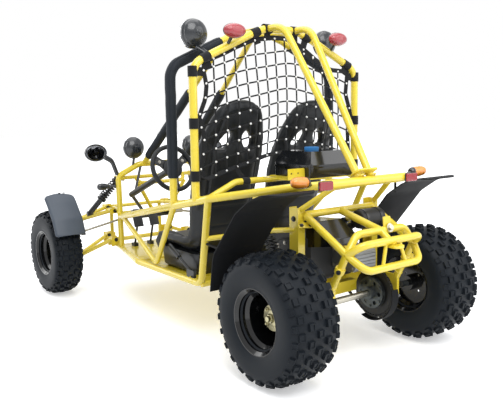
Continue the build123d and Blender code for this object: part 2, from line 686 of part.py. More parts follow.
def steering_column():
    """Column tube, lower shaft, and the rack's housing on its two brackets."""
    slope = sin(radians(STEER_TILT)) / cos(radians(STEER_TILT))
    reach = (COLUMN_END_X - STEER_WHEEL_X) / cos(radians(STEER_TILT))
    column = Pos(0, 0, -(COLUMN_START + reach) / 2) * Cylinder(COLUMN_TUBE / 2, reach - COLUMN_START)
    column -= Pos(0, 0, -COLUMN_START - SHAFT_SEAT / 2) * Cylinder(SHAFT_RADIUS + RUN_GAP, SHAFT_SEAT)
    end = (COLUMN_END_X, STEER_WHEEL_Y, STEER_WHEEL_Z - (COLUMN_END_X - STEER_WHEEL_X) * slope)
    pinion = (STEER_ARM_X, HOUSING_HALF - 30, RACK_Z + HOUSING_RADIUS - 4)
    shapes = [column_frame() * column, tube([end, pinion], 2 * SHAFT_RADIUS)]
    shapes.append(lying((STEER_ARM_X, 0, RACK_Z), HOUSING_RADIUS, 2 * HOUSING_HALF))
    for y in (-HOUSING_HALF + 30, HOUSING_HALF - 90):
        shapes.append(box((COWL_X, y - 4, RACK_Z - 8), (STEER_ARM_X, y + 4, BELT_FRONT_Z + 22)))
    hanger = at_x((STEER_WHEEL_X, STEER_WHEEL_Y, STEER_WHEEL_Z), end, COWL_TOP_X - 60)
    shapes.append(tube([hanger, (COWL_TOP_X, COWL_TOP_Y - 15, COWL_TOP_Z)], 16))
    bore = lying((STEER_ARM_X, 0, RACK_Z), RACK_RADIUS + RUN_GAP, 4 * HOUSING_HALF)
    return weld(shapes) - bore


def seat(y):
    """A bucket seat: reclined back with two harness openings, cushion and side wings."""
    lean = radians(SEAT_RECLINE)
    run = SEAT_TOP_Z - FLOOR_TOP
    foot_x = SEAT_BACK_X + run * sin(lean) / cos(lean)
    base = FLOOR_TOP + SEAT_GAP
    profile = [
        (SEAT_BACK_X, SEAT_TOP_Z),
        (SEAT_BACK_X + SEAT_THICK, SEAT_TOP_Z - 10),
        (foot_x + SEAT_THICK - 20, SEAT_CUSHION_Z),
        (foot_x + SEAT_LENGTH, SEAT_CUSHION_Z + 40),
        (foot_x + SEAT_LENGTH, SEAT_CUSHION_Z - 60),
        (foot_x + SEAT_LENGTH - 70, base),
        (foot_x, base),
    ]
    shape = make_face(FilletPolyline(*profile, radius=SEAT_EDGE, close=True))
    body = Pos(0, y, 0) * Rot(90, 0, 0) * extrude(shape, SEAT_WIDTH / 2, both=True)
    half = [
        (SEAT_BASE_WIDTH / 2, base - 20),
        (SEAT_BASE_WIDTH / 2, base + 30),
        (CUSHION_WIDTH / 2, SEAT_CUSHION_Z - 60),
        (CUSHION_WIDTH / 2, SEAT_CUSHION_Z + 60),
        (SEAT_WIDTH / 2, SEAT_TOP_Z - 460),
        (SEAT_WIDTH / 2, SEAT_TOP_Z - 270),
        (SEAT_TOP_WIDTH / 2, SEAT_TOP_Z + 5),
    ]
    taper = half + [(-side, z) for side, z in reversed(half)]
    front = Plane(origin=(0, y, 0), x_dir=(0, 1, 0), z_dir=(1, 0, 0))
    rounds = [SEAT_EDGE] * 6 + [SEAT_ARCH] * 2 + [SEAT_EDGE] * 6
    mask = front * extrude(make_face(FilletPolyline(*taper, radius=rounds, close=True)), 2000)
    body = body & mask
    for side in (1, -1):
        slot = front * Pos(side * 76, SEAT_TOP_Z - 205, 0) * extrude(SlotOverall(126, 72, 90), 800)
        body -= slot
    return body


def safety_net():
    """The net's panel behind the seats, in the main hoop's plane."""
    route = [(y, z) for x, y, z in across(hoop_route(MAIN_HOOP_X))]
    low = SEATBAR_Z + NET_LIFT
    outline = [(HOOP_HALF, low)] + route[1:-1] + [(-HOOP_HALF, low)]
    bends = [0] + [HOOP_BEND] * (len(outline) - 2) + [0]
    front = Plane(origin=(MAIN_HOOP_X, 0, 0), x_dir=(0, 1, 0), z_dir=(1, 0, 0))
    panel = make_face(FilletPolyline(*outline, radius=bends, close=True))
    panel = front * extrude(panel, NET_THICKNESS / 2, both=True)
    return panel - tube(across(hoop_route(MAIN_HOOP_X)), HOOP_TUBE + 2 * SEAT_GAP, HOOP_BEND)


def tank_tray():
    """Tray under the tank on the seat crossbar and the rear crossbar, with a drilled bracket."""
    top = SEATBAR_Z + BRACE_TUBE / 2 + PLATE
    tray = box((TANK_REAR_X - 10, -TANK_HALF - 8, top - PLATE), (SEATBAR_X, TANK_HALF + 8, top))
    for y in (-90, 90):
        tray += box((CROSSBAR_X, y - 20, top - PLATE), (TANK_REAR_X, y + 20, top))
    tray += box((TANK_REAR_X + 40, TANK_HALF, top - PLATE), (TANK_REAR_X + 44, TANK_HALF + 100, top + 46))
    tray += box((TANK_REAR_X + 40, TANK_HALF + 8, top - PLATE), (SEATBAR_X - 60, TANK_HALF + 100, top))
    for y in (TANK_HALF + 40, TANK_HALF + 80):
        tray -= Pos(TANK_REAR_X + 42, y, top + 24) * Rot(0, 90, 0) * Cylinder(5, 20)
    return tray


def fuel_tank():
    """Plastic tank with bevelled shoulders."""
    low = SEATBAR_Z + BRACE_TUBE / 2 + PLATE + SEAT_GAP
    body = box((TANK_REAR_X, -TANK_HALF, low), (TANK_REAR_X + TANK_LENGTH, TANK_HALF, low + TANK_HEIGHT))
    body = chamfer(body.faces().sort_by(Axis.Z)[-1].edges(), TANK_BEVEL, TANK_BEVEL / 2)
    return fillet(body.edges().filter_by(Axis.Z), 18)


def fuel_cap():
    """Screw cap on the tank's top."""
    low = SEATBAR_Z + BRACE_TUBE / 2 + PLATE + SEAT_GAP + TANK_HEIGHT
    return Pos(TANK_REAR_X + TANK_LENGTH / 2, 20, low + CAP_HEIGHT / 2) * Cylinder(CAP_RADIUS, CAP_HEIGHT)


def round_lamp(center, stem_to):
    """A bowl lamp that shines forward, on a stem to the frame."""
    bowl = [
        (0, -LAMP_DEPTH * 0.55),
        (LAMP_RADIUS * 0.5, -LAMP_DEPTH * 0.45),
        (LAMP_RADIUS * 0.93, 0),
        (LAMP_RADIUS, LAMP_DEPTH * 0.2),
        (LAMP_RADIUS, LAMP_DEPTH * 0.4),
        (0, LAMP_DEPTH * 0.45),
    ]
    lamp = Pos(*center) * Rot(0, 0, -90) * revolve(make_face(Polyline(*bowl, close=True)), Axis.Y)
    below = (center[0], center[1], center[2] - LAMP_RADIUS * 0.6)
    return lamp + tube([below, stem_to], LAMP_STEM)


def lens(center, size, stem_to):
    """A small lamp with a rounded outline, on a stem to the frame."""
    block = Pos(*center) * Box(*size)
    block = fillet(block.edges().filter_by(Axis.X), min(size[1:]) * 0.4)
    return block + tube([center, stem_to], LAMP_STEM)


def hoop_slant(x, y):
    """The point of a roll hoop's slanted side at half width y."""
    shoulder, corner = hoop_route(x)[1:3]
    return between(shoulder, corner, (HOOP_HALF - y) / (HOOP_HALF - HOOP_CORNER_Y))


def headlamp():
    """Left headlamp on the cowl's shoulder."""
    seat_on = between((COWL_X, COWL_HALF, COWL_SHOULDER_Z), (COWL_TOP_X, COWL_TOP_Y, COWL_TOP_Z), 0.7)
    return round_lamp((COWL_TOP_X, HEADLAMP_Y, HEADLAMP_Z), seat_on)


def spot_lamp():
    """Left roof lamp on the main hoop."""
    return round_lamp((SPOT_X, SPOT_Y, SPOT_Z), hoop_slant(MAIN_HOOP_X, SPOT_Y))


def tail_lamp():
    """Left roof tail lamp behind the main hoop."""
    return lens((MAIN_HOOP_X - 60, TAIL_Y, TAIL_Z), (30, 100, 62), hoop_slant(MAIN_HOOP_X, TAIL_Y))


def turn_lamps():
    """Left turn lamps, rear on the belt rail and front on the cowl."""
    rear = lens((CROSSBAR_X + 20, 376, 834), (44, 66, 44), between(BELT_TAIL, BELT_REAR, 0.6))
    front = lens((COWL_X + 30, COWL_HALF + 92, 680), (40, 88, 46), (COWL_X, COWL_HALF, 680))
    return rear, front


def reflector():
    """Left red reflector on the crossbar's end."""
    rear = CROSSBAR_X - CROSSBAR_TUBE / 2 - SEAT_GAP
    low = (rear - 15, CROSSBAR_HALF - 14, CROSSBAR_Z - 19)
    return box(low, (rear, CROSSBAR_HALF + 52, CROSSBAR_Z + 19))


def side_mirror():
    """Left mirror: rounded head on a bent stalk from the cowl's shoulder."""
    head = Pos(MIRROR_X, MIRROR_Y, MIRROR_Z) * Rot(0, 90, 0) * extrude(Ellipse(50, 66), 22, both=True)
    route = [
        (COWL_X, COWL_HALF, COWL_SHOULDER_Z),
        (COWL_X + 4, COWL_HALF + 42, COWL_SHOULDER_Z + 95),
        (MIRROR_X, MIRROR_Y - 20, MIRROR_Z - 10),
    ]
    return head + tube(route, LAMP_STEM + 2, 40)


def engine():
    """Engine block: crankcase, finned cylinder and the drive sprocket on its shaft."""
    case = box((110, ENGINE_RIGHT, ENGINE_LOW_Z), (410, ENGINE_LEFT, 560))
    case = fillet(case.edges().filter_by(Axis.Y), 30)
    gear_case = fillet(box((-40, ENGINE_RIGHT + 5, 402), (120, 30, 508)).edges().filter_by(Axis.Y), 26)
    side_cover = fillet(lying((270, ENGINE_LEFT + 9, 450), 86, 22).edges().sort_by(Axis.Y)[-1], 7)
    carburettor = box((335, -12, 550), (390, 52, 612)) + Pos(362, 20, 618) * Cylinder(26, 24)
    shapes = [case, gear_case, side_cover, carburettor, box((400, -60, 400), (492, 60, 510))]
    for step in range(6):
        x = 416 + step * 13
        shapes.append(box((x, -80, 380), (x + 5, 80, 530)))
    shapes.append(lying((DRIVE_X, SPROCKET_Y, DRIVE_Z), DRIVE_RADIUS, SPROCKET_THICKNESS))
    shaft = ENGINE_RIGHT - SPROCKET_Y
    shapes.append(lying((DRIVE_X, SPROCKET_Y + shaft / 2, DRIVE_Z), 14, shaft + 10))
    return weld(shapes)


def engine_cover():
    """Black cover over the engine's rear, sloping down to the back."""
    outline = [(-45, 575), (-45, 545), (104, 520), (104, 560 + SEAT_GAP), (230, 560 + SEAT_GAP), (230, 628), (60, 640)]
    face = make_face(FilletPolyline(*outline, radius=6, close=True))
    low, high = 26, 190
    return Pos(0, (low + high) / 2, 0) * Rot(90, 0, 0) * extrude(face, (high - low) / 2, both=True)


def muffler():
    """Exhaust silencer under the guard's right side with its pipe from the engine."""
    can = fillet(lying((MUFFLER_X, -112, MUFFLER_Z), MUFFLER_RADIUS, 150).edges(), 10)
    return can + tube([(MUFFLER_X, -70, MUFFLER_Z), (150, -70, 550)], 32)


def chain_guard():
    """Curved shield under and behind the chain, on a stay from the swingarm."""
    radius = SPROCKET_RADIUS + CHAIN_HEIGHT + JOINT_GAP
    outer = CenterArc((0, 0), radius + PLATE, 165, 130)
    inner = CenterArc((0, 0), radius, 165, 130)
    face = make_face([outer, inner, Line(outer @ 0, inner @ 0), Line(outer @ 1, inner @ 1)])
    shield = Pos(0, SPROCKET_Y, REAR_AXLE_Z) * Rot(90, 0, 0) * extrude(face, CHAIN_WIDTH + 6, both=True)
    x, drop = radius * cos(radians(-72)), radius * sin(radians(-72))
    arm = at_x((0, -SWING_Y, REAR_AXLE_Z), (SWING_PIVOT_X, -SWING_Y, SWING_PIVOT_Z), x)
    return shield + tube([(x + 2, SPROCKET_Y - 16, REAR_AXLE_Z + drop - 2), arm], 12)


def pedals():
    """Accelerator and brake pedals and the brake's master cylinder with its reservoir."""
    shapes = []
    for y in (PEDAL_Y - 55, PEDAL_Y + 55):
        foot = FLOOR_TOP + SEAT_GAP
        base = box((PEDAL_X - 20, y - 14, foot), (PEDAL_X + 20, y + 14, foot + 20))
        arm = tube([(PEDAL_X, y, foot + 12), (PEDAL_X - 50, y, foot + 165)], 14)
        pad = Pos(PEDAL_X - 54, y, foot + 170) * Rot(0, 20, 0) * Box(10, 60, 80)
        shapes.append(weld([base, arm, pad]))
    cylinder = tube([(COWL_X, 215, BELT_FRONT_Z + 22), (COWL_X - 105, 215, 445)], 30)
    shapes.append(cylinder + Pos(COWL_X - 58, 215, 500) * Cylinder(20, 52))
    return shapes


def hand_brake_lever():
    """Hand brake lever beside the driver's seat, with its grip and floor bracket."""
    rail_top = FLOOR_Z + FLOOR_TUBE / 2
    foot = (680, LEVER_Y, rail_top + 25)
    grip = between(foot, LEVER_END, 0.55)
    base = box((650, LEVER_Y - 8, rail_top + SEAT_GAP), (715, LEVER_Y + 8, rail_top + 38))
    return weld([base, tube([foot, LEVER_END], 14), tube([grip, LEVER_END], 26)])


def shock(top, foot, spring):
    """A damper between two eyes, or the spring sleeve round its upper part."""
    length = (Vector(top) - Vector(foot)).length
    along = Plane(origin=foot, z_dir=Vector(top) - Vector(foot))
    if spring:
        steps = 7
        start = length * 0.42
        pitch = (length - 34 - start) / steps
        outline = [(19, start)]
        for step in range(steps):
            outline += [(23, start + step * pitch), (31, start + (step + 0.5) * pitch)]
        outline += [(23, length - 34), (19, length - 34)]
        return along * revolve(make_face(Plane.XZ * Polyline(*outline, close=True)), Axis.Z)
    eye_width = 2 * (SHOCK_LUG - PLATE / 2 - SEAT_GAP)
    eyes = [Pos(*end) * Rot(90, 0, 0) * Cylinder(15, eye_width) for end in (top, foot)]
    body = along * Pos(0, 0, length * 0.28) * Cylinder(18 - SEAT_GAP, length * 0.5)
    rod = along * Pos(0, 0, length / 2) * Cylinder(9, length)
    collar = along * Pos(0, 0, length * 0.42 - 4) * Cylinder(30, 8 - 2 * SEAT_GAP)
    cap = along * Pos(0, 0, length - 30) * Cylinder(30, 8 - 2 * SEAT_GAP)
    return weld([body, rod, collar, cap] + eyes)


def build():
    """Every piece of the vehicle, by name, in station coordinates."""
    left_side = side_frame()
    right_side = flip(left_side)
    front = front_frame() - left_side - right_side
    main = hoop(MAIN_HOOP_X) - left_side - right_side
    fore = hoop(FRONT_HOOP_X) - left_side - right_side
    arm = swingarm()
    rear = rear_frame() - left_side - right_side - arm
    seatbar = seat_bar() - left_side - right_side
    stay = spine() - main - fore - cowl_hoop() - rear
    floor = floor_frame() - left_side - right_side - front
    guard = engine_guard() - rear - arm
    upper = front_arm(UPPER_PIVOT_Z, UPPER_BALL)
    lower = front_arm(LOWER_PIVOT_Z, LOWER_BALL)
    knuckle_left = knuckle()
    fender_left = front_fender() - knuckle_left
    shocks = ((SHOCK_TOP, SHOCK_FOOT), (REAR_SHOCK_TOP, REAR_SHOCK_FOOT))
    dampers = [shock(top, foot, False) - upper - front - rear - arm for top, foot in shocks]
    springs = [shock(top, foot, True) for top, foot in shocks]
    front_tyre = front_wheel(tyre(FRONT_TYRE_OD / 2, FRONT_TYRE_WIDTH, FRONT_RIM_HALF, FRONT_KNOB_ROWS))
    front_rim = front_wheel(rim(FRONT_RIM_HALF, FRONT_DISC_SET, AXLE_RADIUS + RUN_GAP))
    rear_tyre = rear_wheel(tyre(REAR_TYRE_OD / 2, REAR_TYRE_WIDTH, REAR_RIM_HALF, REAR_KNOB_ROWS))
    rear_rim = rear_wheel(rim(REAR_RIM_HALF, REAR_DISC_SET, AXLE_RADIUS + SEAT_GAP))
    block = engine()
    rear_turn, front_turn = turn_lamps()
    pedal_set = pedals()
    return {
        "left_side_frame": left_side,
        "right_side_frame": right_side,
        "floor_frame": floor,
        "front_frame": front,
        "main_hoop": main,
        "front_hoop": fore,
        "spine_tubes": both(stay),
        "foam_pads": foam_pads(),
        "rear_frame": rear,
        "seat_crossbar": seatbar,
        "engine_guard": guard,
        "swingarm": arm,
        "left_seat": seat(SEAT_Y),
        "right_seat": seat(-SEAT_Y),
        "safety_net": safety_net(),
        "tank_tray": tank_tray() - rear - seatbar,
        "fuel_tank": fuel_tank(),
        "fuel_cap": fuel_cap(),
        "front_upper_arms": both(upper),
        "front_lower_arms": both(lower),
        "dampers": both(dampers[0]) + both(dampers[1]),
        "springs": both(springs[0]) + both(springs[1]),
        "steering_column": steering_column() - front,
        "steering_wheel": steering_wheel(),
        "steering_rack": steering_rack(),
        "front_left_knuckle": knuckle_left,
        "front_right_knuckle": flip(knuckle_left),
        "front_left_fender": fender_left,
        "front_right_fender": flip(fender_left),
        "rear_fenders": both(rear_fender() - left_side),
        "front_left_tyre": front_tyre,
        "front_right_tyre": flip(front_tyre),
        "front_left_rim": front_rim,
        "front_right_rim": flip(front_rim),
        "rear_tyres": both(rear_tyre),
        "rear_rims": both(rear_rim),
        "rear_axle": rear_axle(),
        "chain": chain(),
        "chain_guard": chain_guard() - arm,
        "engine": block,
        "engine_cover": engine_cover(),
        "muffler": muffler() - block,
        "headlamps": both(headlamp() - front),
        "roof_spot_lamps": both(spot_lamp() - main),
        "roof_tail_lamps": both(tail_lamp() - main),
        "turn_lamps": both(rear_turn - left_side) + both(front_turn - front),
        "rear_reflectors": both(reflector()),
        "mirrors": both(side_mirror() - front),
        "pedals": pedal_set[0] + pedal_set[1] + (pedal_set[2] - front),
        "hand_brake_lever": hand_brake_lever(),
    }


def main():
    """Writes one STEP file for each piece."""
    os.makedirs("parts", exist_ok=True)
    for name, shape in build().items():
        export_step(Pos(-MID_X, 0, 0) * shape, f"parts/{name}.step")


if __name__ == "__main__":
    main()
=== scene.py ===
"""Studio scene of a two-seat dune buggy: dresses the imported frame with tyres, seats, net and fittings.

Lengths are metres in the row frame: +X forward, +Y to the driver's left, +Z up, ground at zero.
Stations along X start at the rear axle, as in the part's source, and `station` moves them to the row frame.
"""
from __future__ import annotations

import json
import logging
import math
from dataclasses import dataclass
from enum import Enum
from typing import Callable, Iterable, Sequence

import bmesh
import bpy
from bpy.types import ID, Material, Mesh, NodeSocket, NodeTree, Object
from mathutils import Matrix, Vector

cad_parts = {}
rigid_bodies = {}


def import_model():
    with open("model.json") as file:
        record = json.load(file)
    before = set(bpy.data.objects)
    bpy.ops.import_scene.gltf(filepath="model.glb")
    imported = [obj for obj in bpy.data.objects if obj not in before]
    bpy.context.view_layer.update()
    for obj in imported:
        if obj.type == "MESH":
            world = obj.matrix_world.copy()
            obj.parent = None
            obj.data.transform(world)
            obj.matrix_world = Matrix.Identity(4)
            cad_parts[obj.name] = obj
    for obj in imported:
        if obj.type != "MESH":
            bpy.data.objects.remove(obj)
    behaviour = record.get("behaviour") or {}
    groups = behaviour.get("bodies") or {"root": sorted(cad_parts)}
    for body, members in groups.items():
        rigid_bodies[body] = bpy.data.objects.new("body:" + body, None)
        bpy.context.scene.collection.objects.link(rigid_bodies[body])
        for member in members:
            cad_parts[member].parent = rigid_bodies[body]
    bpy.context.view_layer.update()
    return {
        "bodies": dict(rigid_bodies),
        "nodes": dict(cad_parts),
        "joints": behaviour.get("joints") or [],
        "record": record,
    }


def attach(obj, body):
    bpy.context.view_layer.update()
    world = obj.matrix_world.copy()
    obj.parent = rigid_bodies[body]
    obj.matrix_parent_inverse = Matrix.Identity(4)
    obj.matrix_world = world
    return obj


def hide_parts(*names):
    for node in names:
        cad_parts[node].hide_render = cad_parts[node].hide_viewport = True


LOG = logging.getLogger("buggy")
REAR_AXLE_X = -0.9935
REAR_AXLE_Z = 0.2795
FRONT_AXLE_Z = 0.2665
WHEELBASE = 2.0
SIDES = (1, -1)
SIDE_NAMES = ("left", "right")
AHEAD, ACROSS, UP = Vector((1, 0, 0)), Vector((0, 1, 0)), Vector((0, 0, 1))
SHARP_ANGLE = 38.0
COAT_ROUGHNESS = 0.06
DRIFT_SCALE = 9.0
DRIFT_DETAIL = 3.0
NODE_FINISHES = {"rear_fenders": "fender_black", "steering_rack": "bare_steel", "engine": "engine_black",
                 "rear_axle": "drive_steel", "chain_guard": "fender_black"}

Point = tuple[float, float, float]
Colour = tuple[float, float, float]
Pair = tuple[float, float]
Profile = Sequence[Pair]


def station(x: float, y: float, z: float) -> Vector:
    """A point of the row frame, from its distance ahead of the rear axle."""
    return Vector((x + REAR_AXLE_X, y, z))


def sided(point: Point, side: int) -> Vector:
    """A station's point of the left side, or its mirror image on the right."""
    return station(point[0], side * point[1], point[2])


def combined(tree: NodeTree, operation: str, first: NodeSocket, second: NodeSocket) -> NodeSocket:
    """Puts two value sockets through a math node.

    Args:
        tree: The node tree.
        operation: What the node does.
        first: Its first value.
        second: Its second value.

    Returns:
        The result's socket.
    """
    node = tree.nodes.new("ShaderNodeMath")
    node.operation = operation
    tree.links.new(first, node.inputs[0])
    tree.links.new(second, node.inputs[1])
    return node.outputs[0]


class Pattern(Enum):
    """How a surface's fine detail is laid out."""

    MOULDED = "moulded"
    BRUSHED = "brushed"
    WOVEN = "woven"
    GRAINED = "grained"
    RIBBED = "ribbed"


@dataclass(frozen=True)
class Finish:
    """One surface finish, with its two tones, fine pattern and gloss.

    Attributes:
        name: The material's name, the record's slot where it has one.
        tones: Main colour and the tone that drifts through it.
        scale: Repeats of the fine detail per metre.
        rough: Lowest and highest roughness.
        bump: Strength of the fine relief.
        pattern: Layout of the fine detail.
        metallic: Share of metal.
        coat: Weight of the clear coat.
        sheen: Weight of the cloth sheen.
        clear: Share of light that passes through.
        shine: Level of the plain mirror light.
    """

    name: str
    tones: tuple[Colour, Colour]
    scale: float
    rough: Pair
    bump: float
    pattern: Pattern = Pattern.MOULDED
    metallic: float = 0.0
    coat: float = 0.0
    sheen: float = 0.0
    clear: float = 0.0
    shine: float = 0.5

    def make(self) -> Material:
        """Builds the node material.

        Returns:
            The finished material.
        """
        material = bpy.data.materials.new(self.name)
        material.use_nodes = True
        tree = material.node_tree
        shader = tree.nodes["Principled BSDF"]
        for socket, value in (("Metallic", self.metallic), ("Coat Weight", self.coat),
                              ("Coat Roughness", COAT_ROUGHNESS), ("Sheen Weight", self.sheen),
                              ("Transmission Weight", self.clear), ("Specular IOR Level", self.shine)):
            shader.inputs[socket].default_value = value
        place = tree.nodes.new("ShaderNodeTexCoord").outputs["Object"]
        drift = self._noise(tree, place, DRIFT_SCALE, DRIFT_DETAIL)
        fine = self._fine(tree, place)
        blend = tree.nodes.new("ShaderNodeMix")
        blend.data_type = "RGBA"
        blend.inputs[6].default_value = (*self.tones[0], 1.0)
        blend.inputs[7].default_value = (*self.tones[1], 1.0)
        tree.links.new(combined(tree, "MULTIPLY", drift, fine), blend.inputs[0])
        tree.links.new(blend.outputs[2], shader.inputs["Base Color"])
        gloss = tree.nodes.new("ShaderNodeMapRange")
        gloss.inputs["To Min"].default_value = self.rough[0]
        gloss.inputs["To Max"].default_value = self.rough[1]
        tree.links.new(drift, gloss.inputs["Value"])
        tree.links.new(gloss.outputs[0], shader.inputs["Roughness"])
        relief = tree.nodes.new("ShaderNodeBump")
        relief.inputs["Strength"].default_value = self.bump
        relief.inputs["Distance"].default_value = 0.2 / self.scale
        tree.links.new(fine, relief.inputs["Height"])
        tree.links.new(relief.outputs[0], shader.inputs["Normal"])
        return material

    @staticmethod
    def _noise(tree: NodeTree, place: NodeSocket, scale: float,
               detail: float) -> NodeSocket:
        """A noise pattern at a scale per metre.

        Args:
            tree: The material's node tree.
            place: Object coordinates.
            scale: Lumps per metre.
            detail: Levels of finer noise.

        Returns:
            The pattern's value socket.
        """
        noise = tree.nodes.new("ShaderNodeTexNoise")
        noise.inputs["Scale"].default_value = scale
        noise.inputs["Detail"].default_value = detail
        tree.links.new(place, noise.inputs["Vector"])
        return noise.outputs[0]

    def _fine(self, tree: NodeTree, place: NodeSocket) -> NodeSocket:
        """Builds the fine pattern.

        Args:
            tree: The material's node tree.
            place: Object coordinates.

        Returns:
            The pattern's value socket.
        """
        if self.pattern is Pattern.MOULDED:
            return self._noise(tree, place, self.scale, 6.0)
        if self.pattern is Pattern.BRUSHED:
            stretch = tree.nodes.new("ShaderNodeMapping")
            stretch.inputs["Scale"].default_value = (1.0, 0.05, 1.0)
            tree.links.new(place, stretch.inputs["Vector"])
            return self._noise(tree, stretch.outputs[0], self.scale, 5.0)
        if self.pattern is Pattern.GRAINED:
            cells = tree.nodes.new("ShaderNodeTexVoronoi")
            cells.inputs["Scale"].default_value = self.scale
            tree.links.new(place, cells.inputs["Vector"])
            return cells.outputs["Distance"]
        waves = []
        for direction in ("Y", "Z") if self.pattern is Pattern.WOVEN else ("Y",):
            wave = tree.nodes.new("ShaderNodeTexWave")
            wave.bands_direction = direction
            wave.inputs["Scale"].default_value = self.scale
            tree.links.new(place, wave.inputs["Vector"])
            waves.append(wave.outputs["Fac"])
        return waves[0] if len(waves) == 1 else combined(tree, "MAXIMUM", *waves)


FINISHES = (
    Finish("yellow_paint", ((0.79, 0.62, 0.04), (0.72, 0.54, 0.032)), 260, (0.22, 0.34), 0.04,
           coat=0.45),
    Finish("black_foam", ((0.009, 0.0122, 0.0172), (0.0175, 0.0228, 0.0305)), 420, (0.6, 0.78), 0.25,
           shine=0.28),
    Finish("seat_vinyl", ((0.007, 0.0085, 0.0105), (0.016, 0.019, 0.023)), 330, (0.34, 0.5), 0.16, Pattern.GRAINED,
           shine=0.34),
    Finish("net_webbing", ((0.006, 0.0065, 0.0075), (0.014, 0.015, 0.017)), 190, (0.75, 0.9), 0.4, Pattern.WOVEN,
           sheen=0.1, shine=0.2),
    Finish("knot_white", ((0.93, 0.93, 0.92), (0.8, 0.8, 0.79)), 300, (0.7, 0.85), 0.3, Pattern.WOVEN),
    Finish("tank_plastic", ((0.005, 0.006, 0.0075), (0.011, 0.012, 0.014)), 160, (0.1, 0.2), 0.04,
           coat=0.25, shine=0.45),
    Finish("blue_plastic", ((0.035, 0.24, 0.58), (0.025, 0.18, 0.48)), 240, (0.35, 0.5), 0.06),
    Finish("black_steel", ((0.009, 0.0105, 0.012), (0.02, 0.022, 0.025)), 240, (0.3, 0.46), 0.06,
           coat=0.15, shine=0.4),
    Finish("grip_rubber", ((0.011, 0.0125, 0.015), (0.021, 0.0235, 0.027)), 420, (0.5, 0.66), 0.25, Pattern.GRAINED,
           shine=0.35),
    Finish("bare_steel", ((0.4, 0.385, 0.35), (0.25, 0.235, 0.205)), 420, (0.3, 0.48), 0.08, Pattern.BRUSHED,
           metallic=1.0),
    Finish("zinc_steel", ((0.5, 0.48, 0.41), (0.34, 0.32, 0.27)), 420, (0.26, 0.42), 0.08, Pattern.BRUSHED,
           metallic=1.0),
    Finish("drive_steel", ((0.105, 0.118, 0.12), (0.06, 0.066, 0.066)), 340, (0.36, 0.54), 0.12,
           metallic=0.8),
    Finish("greased_steel", ((0.022, 0.023, 0.024), (0.055, 0.052, 0.046)), 520, (0.24, 0.5), 0.2,
           metallic=0.7),
    Finish("zinc_gold", ((0.52, 0.48, 0.3), (0.33, 0.31, 0.2)), 300, (0.26, 0.42), 0.06, metallic=1.0),
    Finish("engine_alloy", ((0.3, 0.31, 0.32), (0.19, 0.2, 0.21)), 520, (0.38, 0.56), 0.22,
           metallic=0.85),
    Finish("engine_black", ((0.011, 0.012, 0.0135), (0.024, 0.025, 0.027)), 420, (0.4, 0.58), 0.2,
           shine=0.4),
    Finish("muffler_steel", ((0.016, 0.017, 0.019), (0.036, 0.034, 0.032)), 300, (0.42, 0.6), 0.14,
           metallic=0.2, shine=0.4),
    Finish("fender_plastic", ((0.042, 0.055, 0.076), (0.062, 0.079, 0.104)), 700, (0.4, 0.54), 0.12),
    Finish("fender_black", ((0.0065, 0.007, 0.008), (0.013, 0.014, 0.016)), 700, (0.58, 0.74), 0.12,
           shine=0.14),
    Finish("rim_black", ((0.0026, 0.003, 0.0036), (0.0062, 0.007, 0.0082)), 200, (0.1, 0.2), 0.03,
           coat=0.3, shine=0.3),
    Finish("tyre_rubber", ((0.0062, 0.0083, 0.0112), (0.0145, 0.019, 0.0255)), 380, (0.44, 0.6), 0.22,
           shine=0.15),
    Finish("lamp_black", ((0.013, 0.0155, 0.019), (0.026, 0.03, 0.036)), 220, (0.2, 0.34), 0.04,
           coat=0.25),
    Finish("red_lens", ((0.4, 0.008, 0.022), (0.2, 0.003, 0.01)), 60, (0.08, 0.16), 0.35, Pattern.RIBBED, coat=0.8),
    Finish("amber_lens", ((0.9, 0.3, 0.02), (0.72, 0.2, 0.012)), 70, (0.08, 0.16), 0.35, Pattern.RIBBED, coat=0.8),
    Finish("lamp_glass", ((0.86, 0.88, 0.9), (0.74, 0.77, 0.8)), 45, (0.04, 0.1), 0.3, Pattern.RIBBED, coat=0.6,
           clear=0.5),
    Finish("lamp_chrome", ((0.8, 0.81, 0.82), (0.7, 0.71, 0.73)), 180, (0.05, 0.12), 0.02,
           metallic=1.0),
    Finish("mirror_glass", ((0.13, 0.135, 0.145), (0.1, 0.105, 0.115)), 40, (0.03, 0.06), 0.01,
           metallic=1.0),
)


class Paintbox:
    """Every finish's material, by name, and their use on the frame's own nodes."""

    def __init__(self) -> None:
        """Builds all materials once."""
        self.materials = {finish.name: finish.make() for finish in FINISHES}

    def __getitem__(self, name: str) -> Material:
        """The material of a finish."""
        return self.materials[name]

    def dress_nodes(self, frame: dict, special: dict[str, str]) -> None:
        """Gives each node of the frame the finish of its slot.

        Args:
            frame: What the frame's loading gave.
            special: Finish for nodes that differ from their slot.
        """
        for part in frame["record"]["subparts"]:
            node = frame["nodes"][part["node"]]
            node.data.materials.clear()
            node.data.materials.append(self[special.get(part["node"], part["material_slot"])])


def bent(points: Sequence[Vector], radius: float, steps: int = 8) -> list[Vector]:
    """A route of straight runs with its corners rounded to arcs.

    Args:
        points: The route's corners.
        radius: Bend radius at each inner corner.
        steps: Points on each arc.

    Returns:
        The points along the bent route.
    """
    route = [points[0].copy()]
    for before, corner, after in zip(points, points[1:], points[2:]):
        back, ahead = (before - corner).normalized(), (after - corner).normalized()
        half = back.angle(ahead) / 2
        reach = radius / math.tan(half)
        centre = corner + (back + ahead).normalized() * radius / math.sin(half)
        start, end = corner + back * reach - centre, corner + ahead * reach - centre
        route += [centre + start.slerp(end, step / steps).normalized() * radius for step in range(steps + 1)]
    return route + [points[-1].copy()]


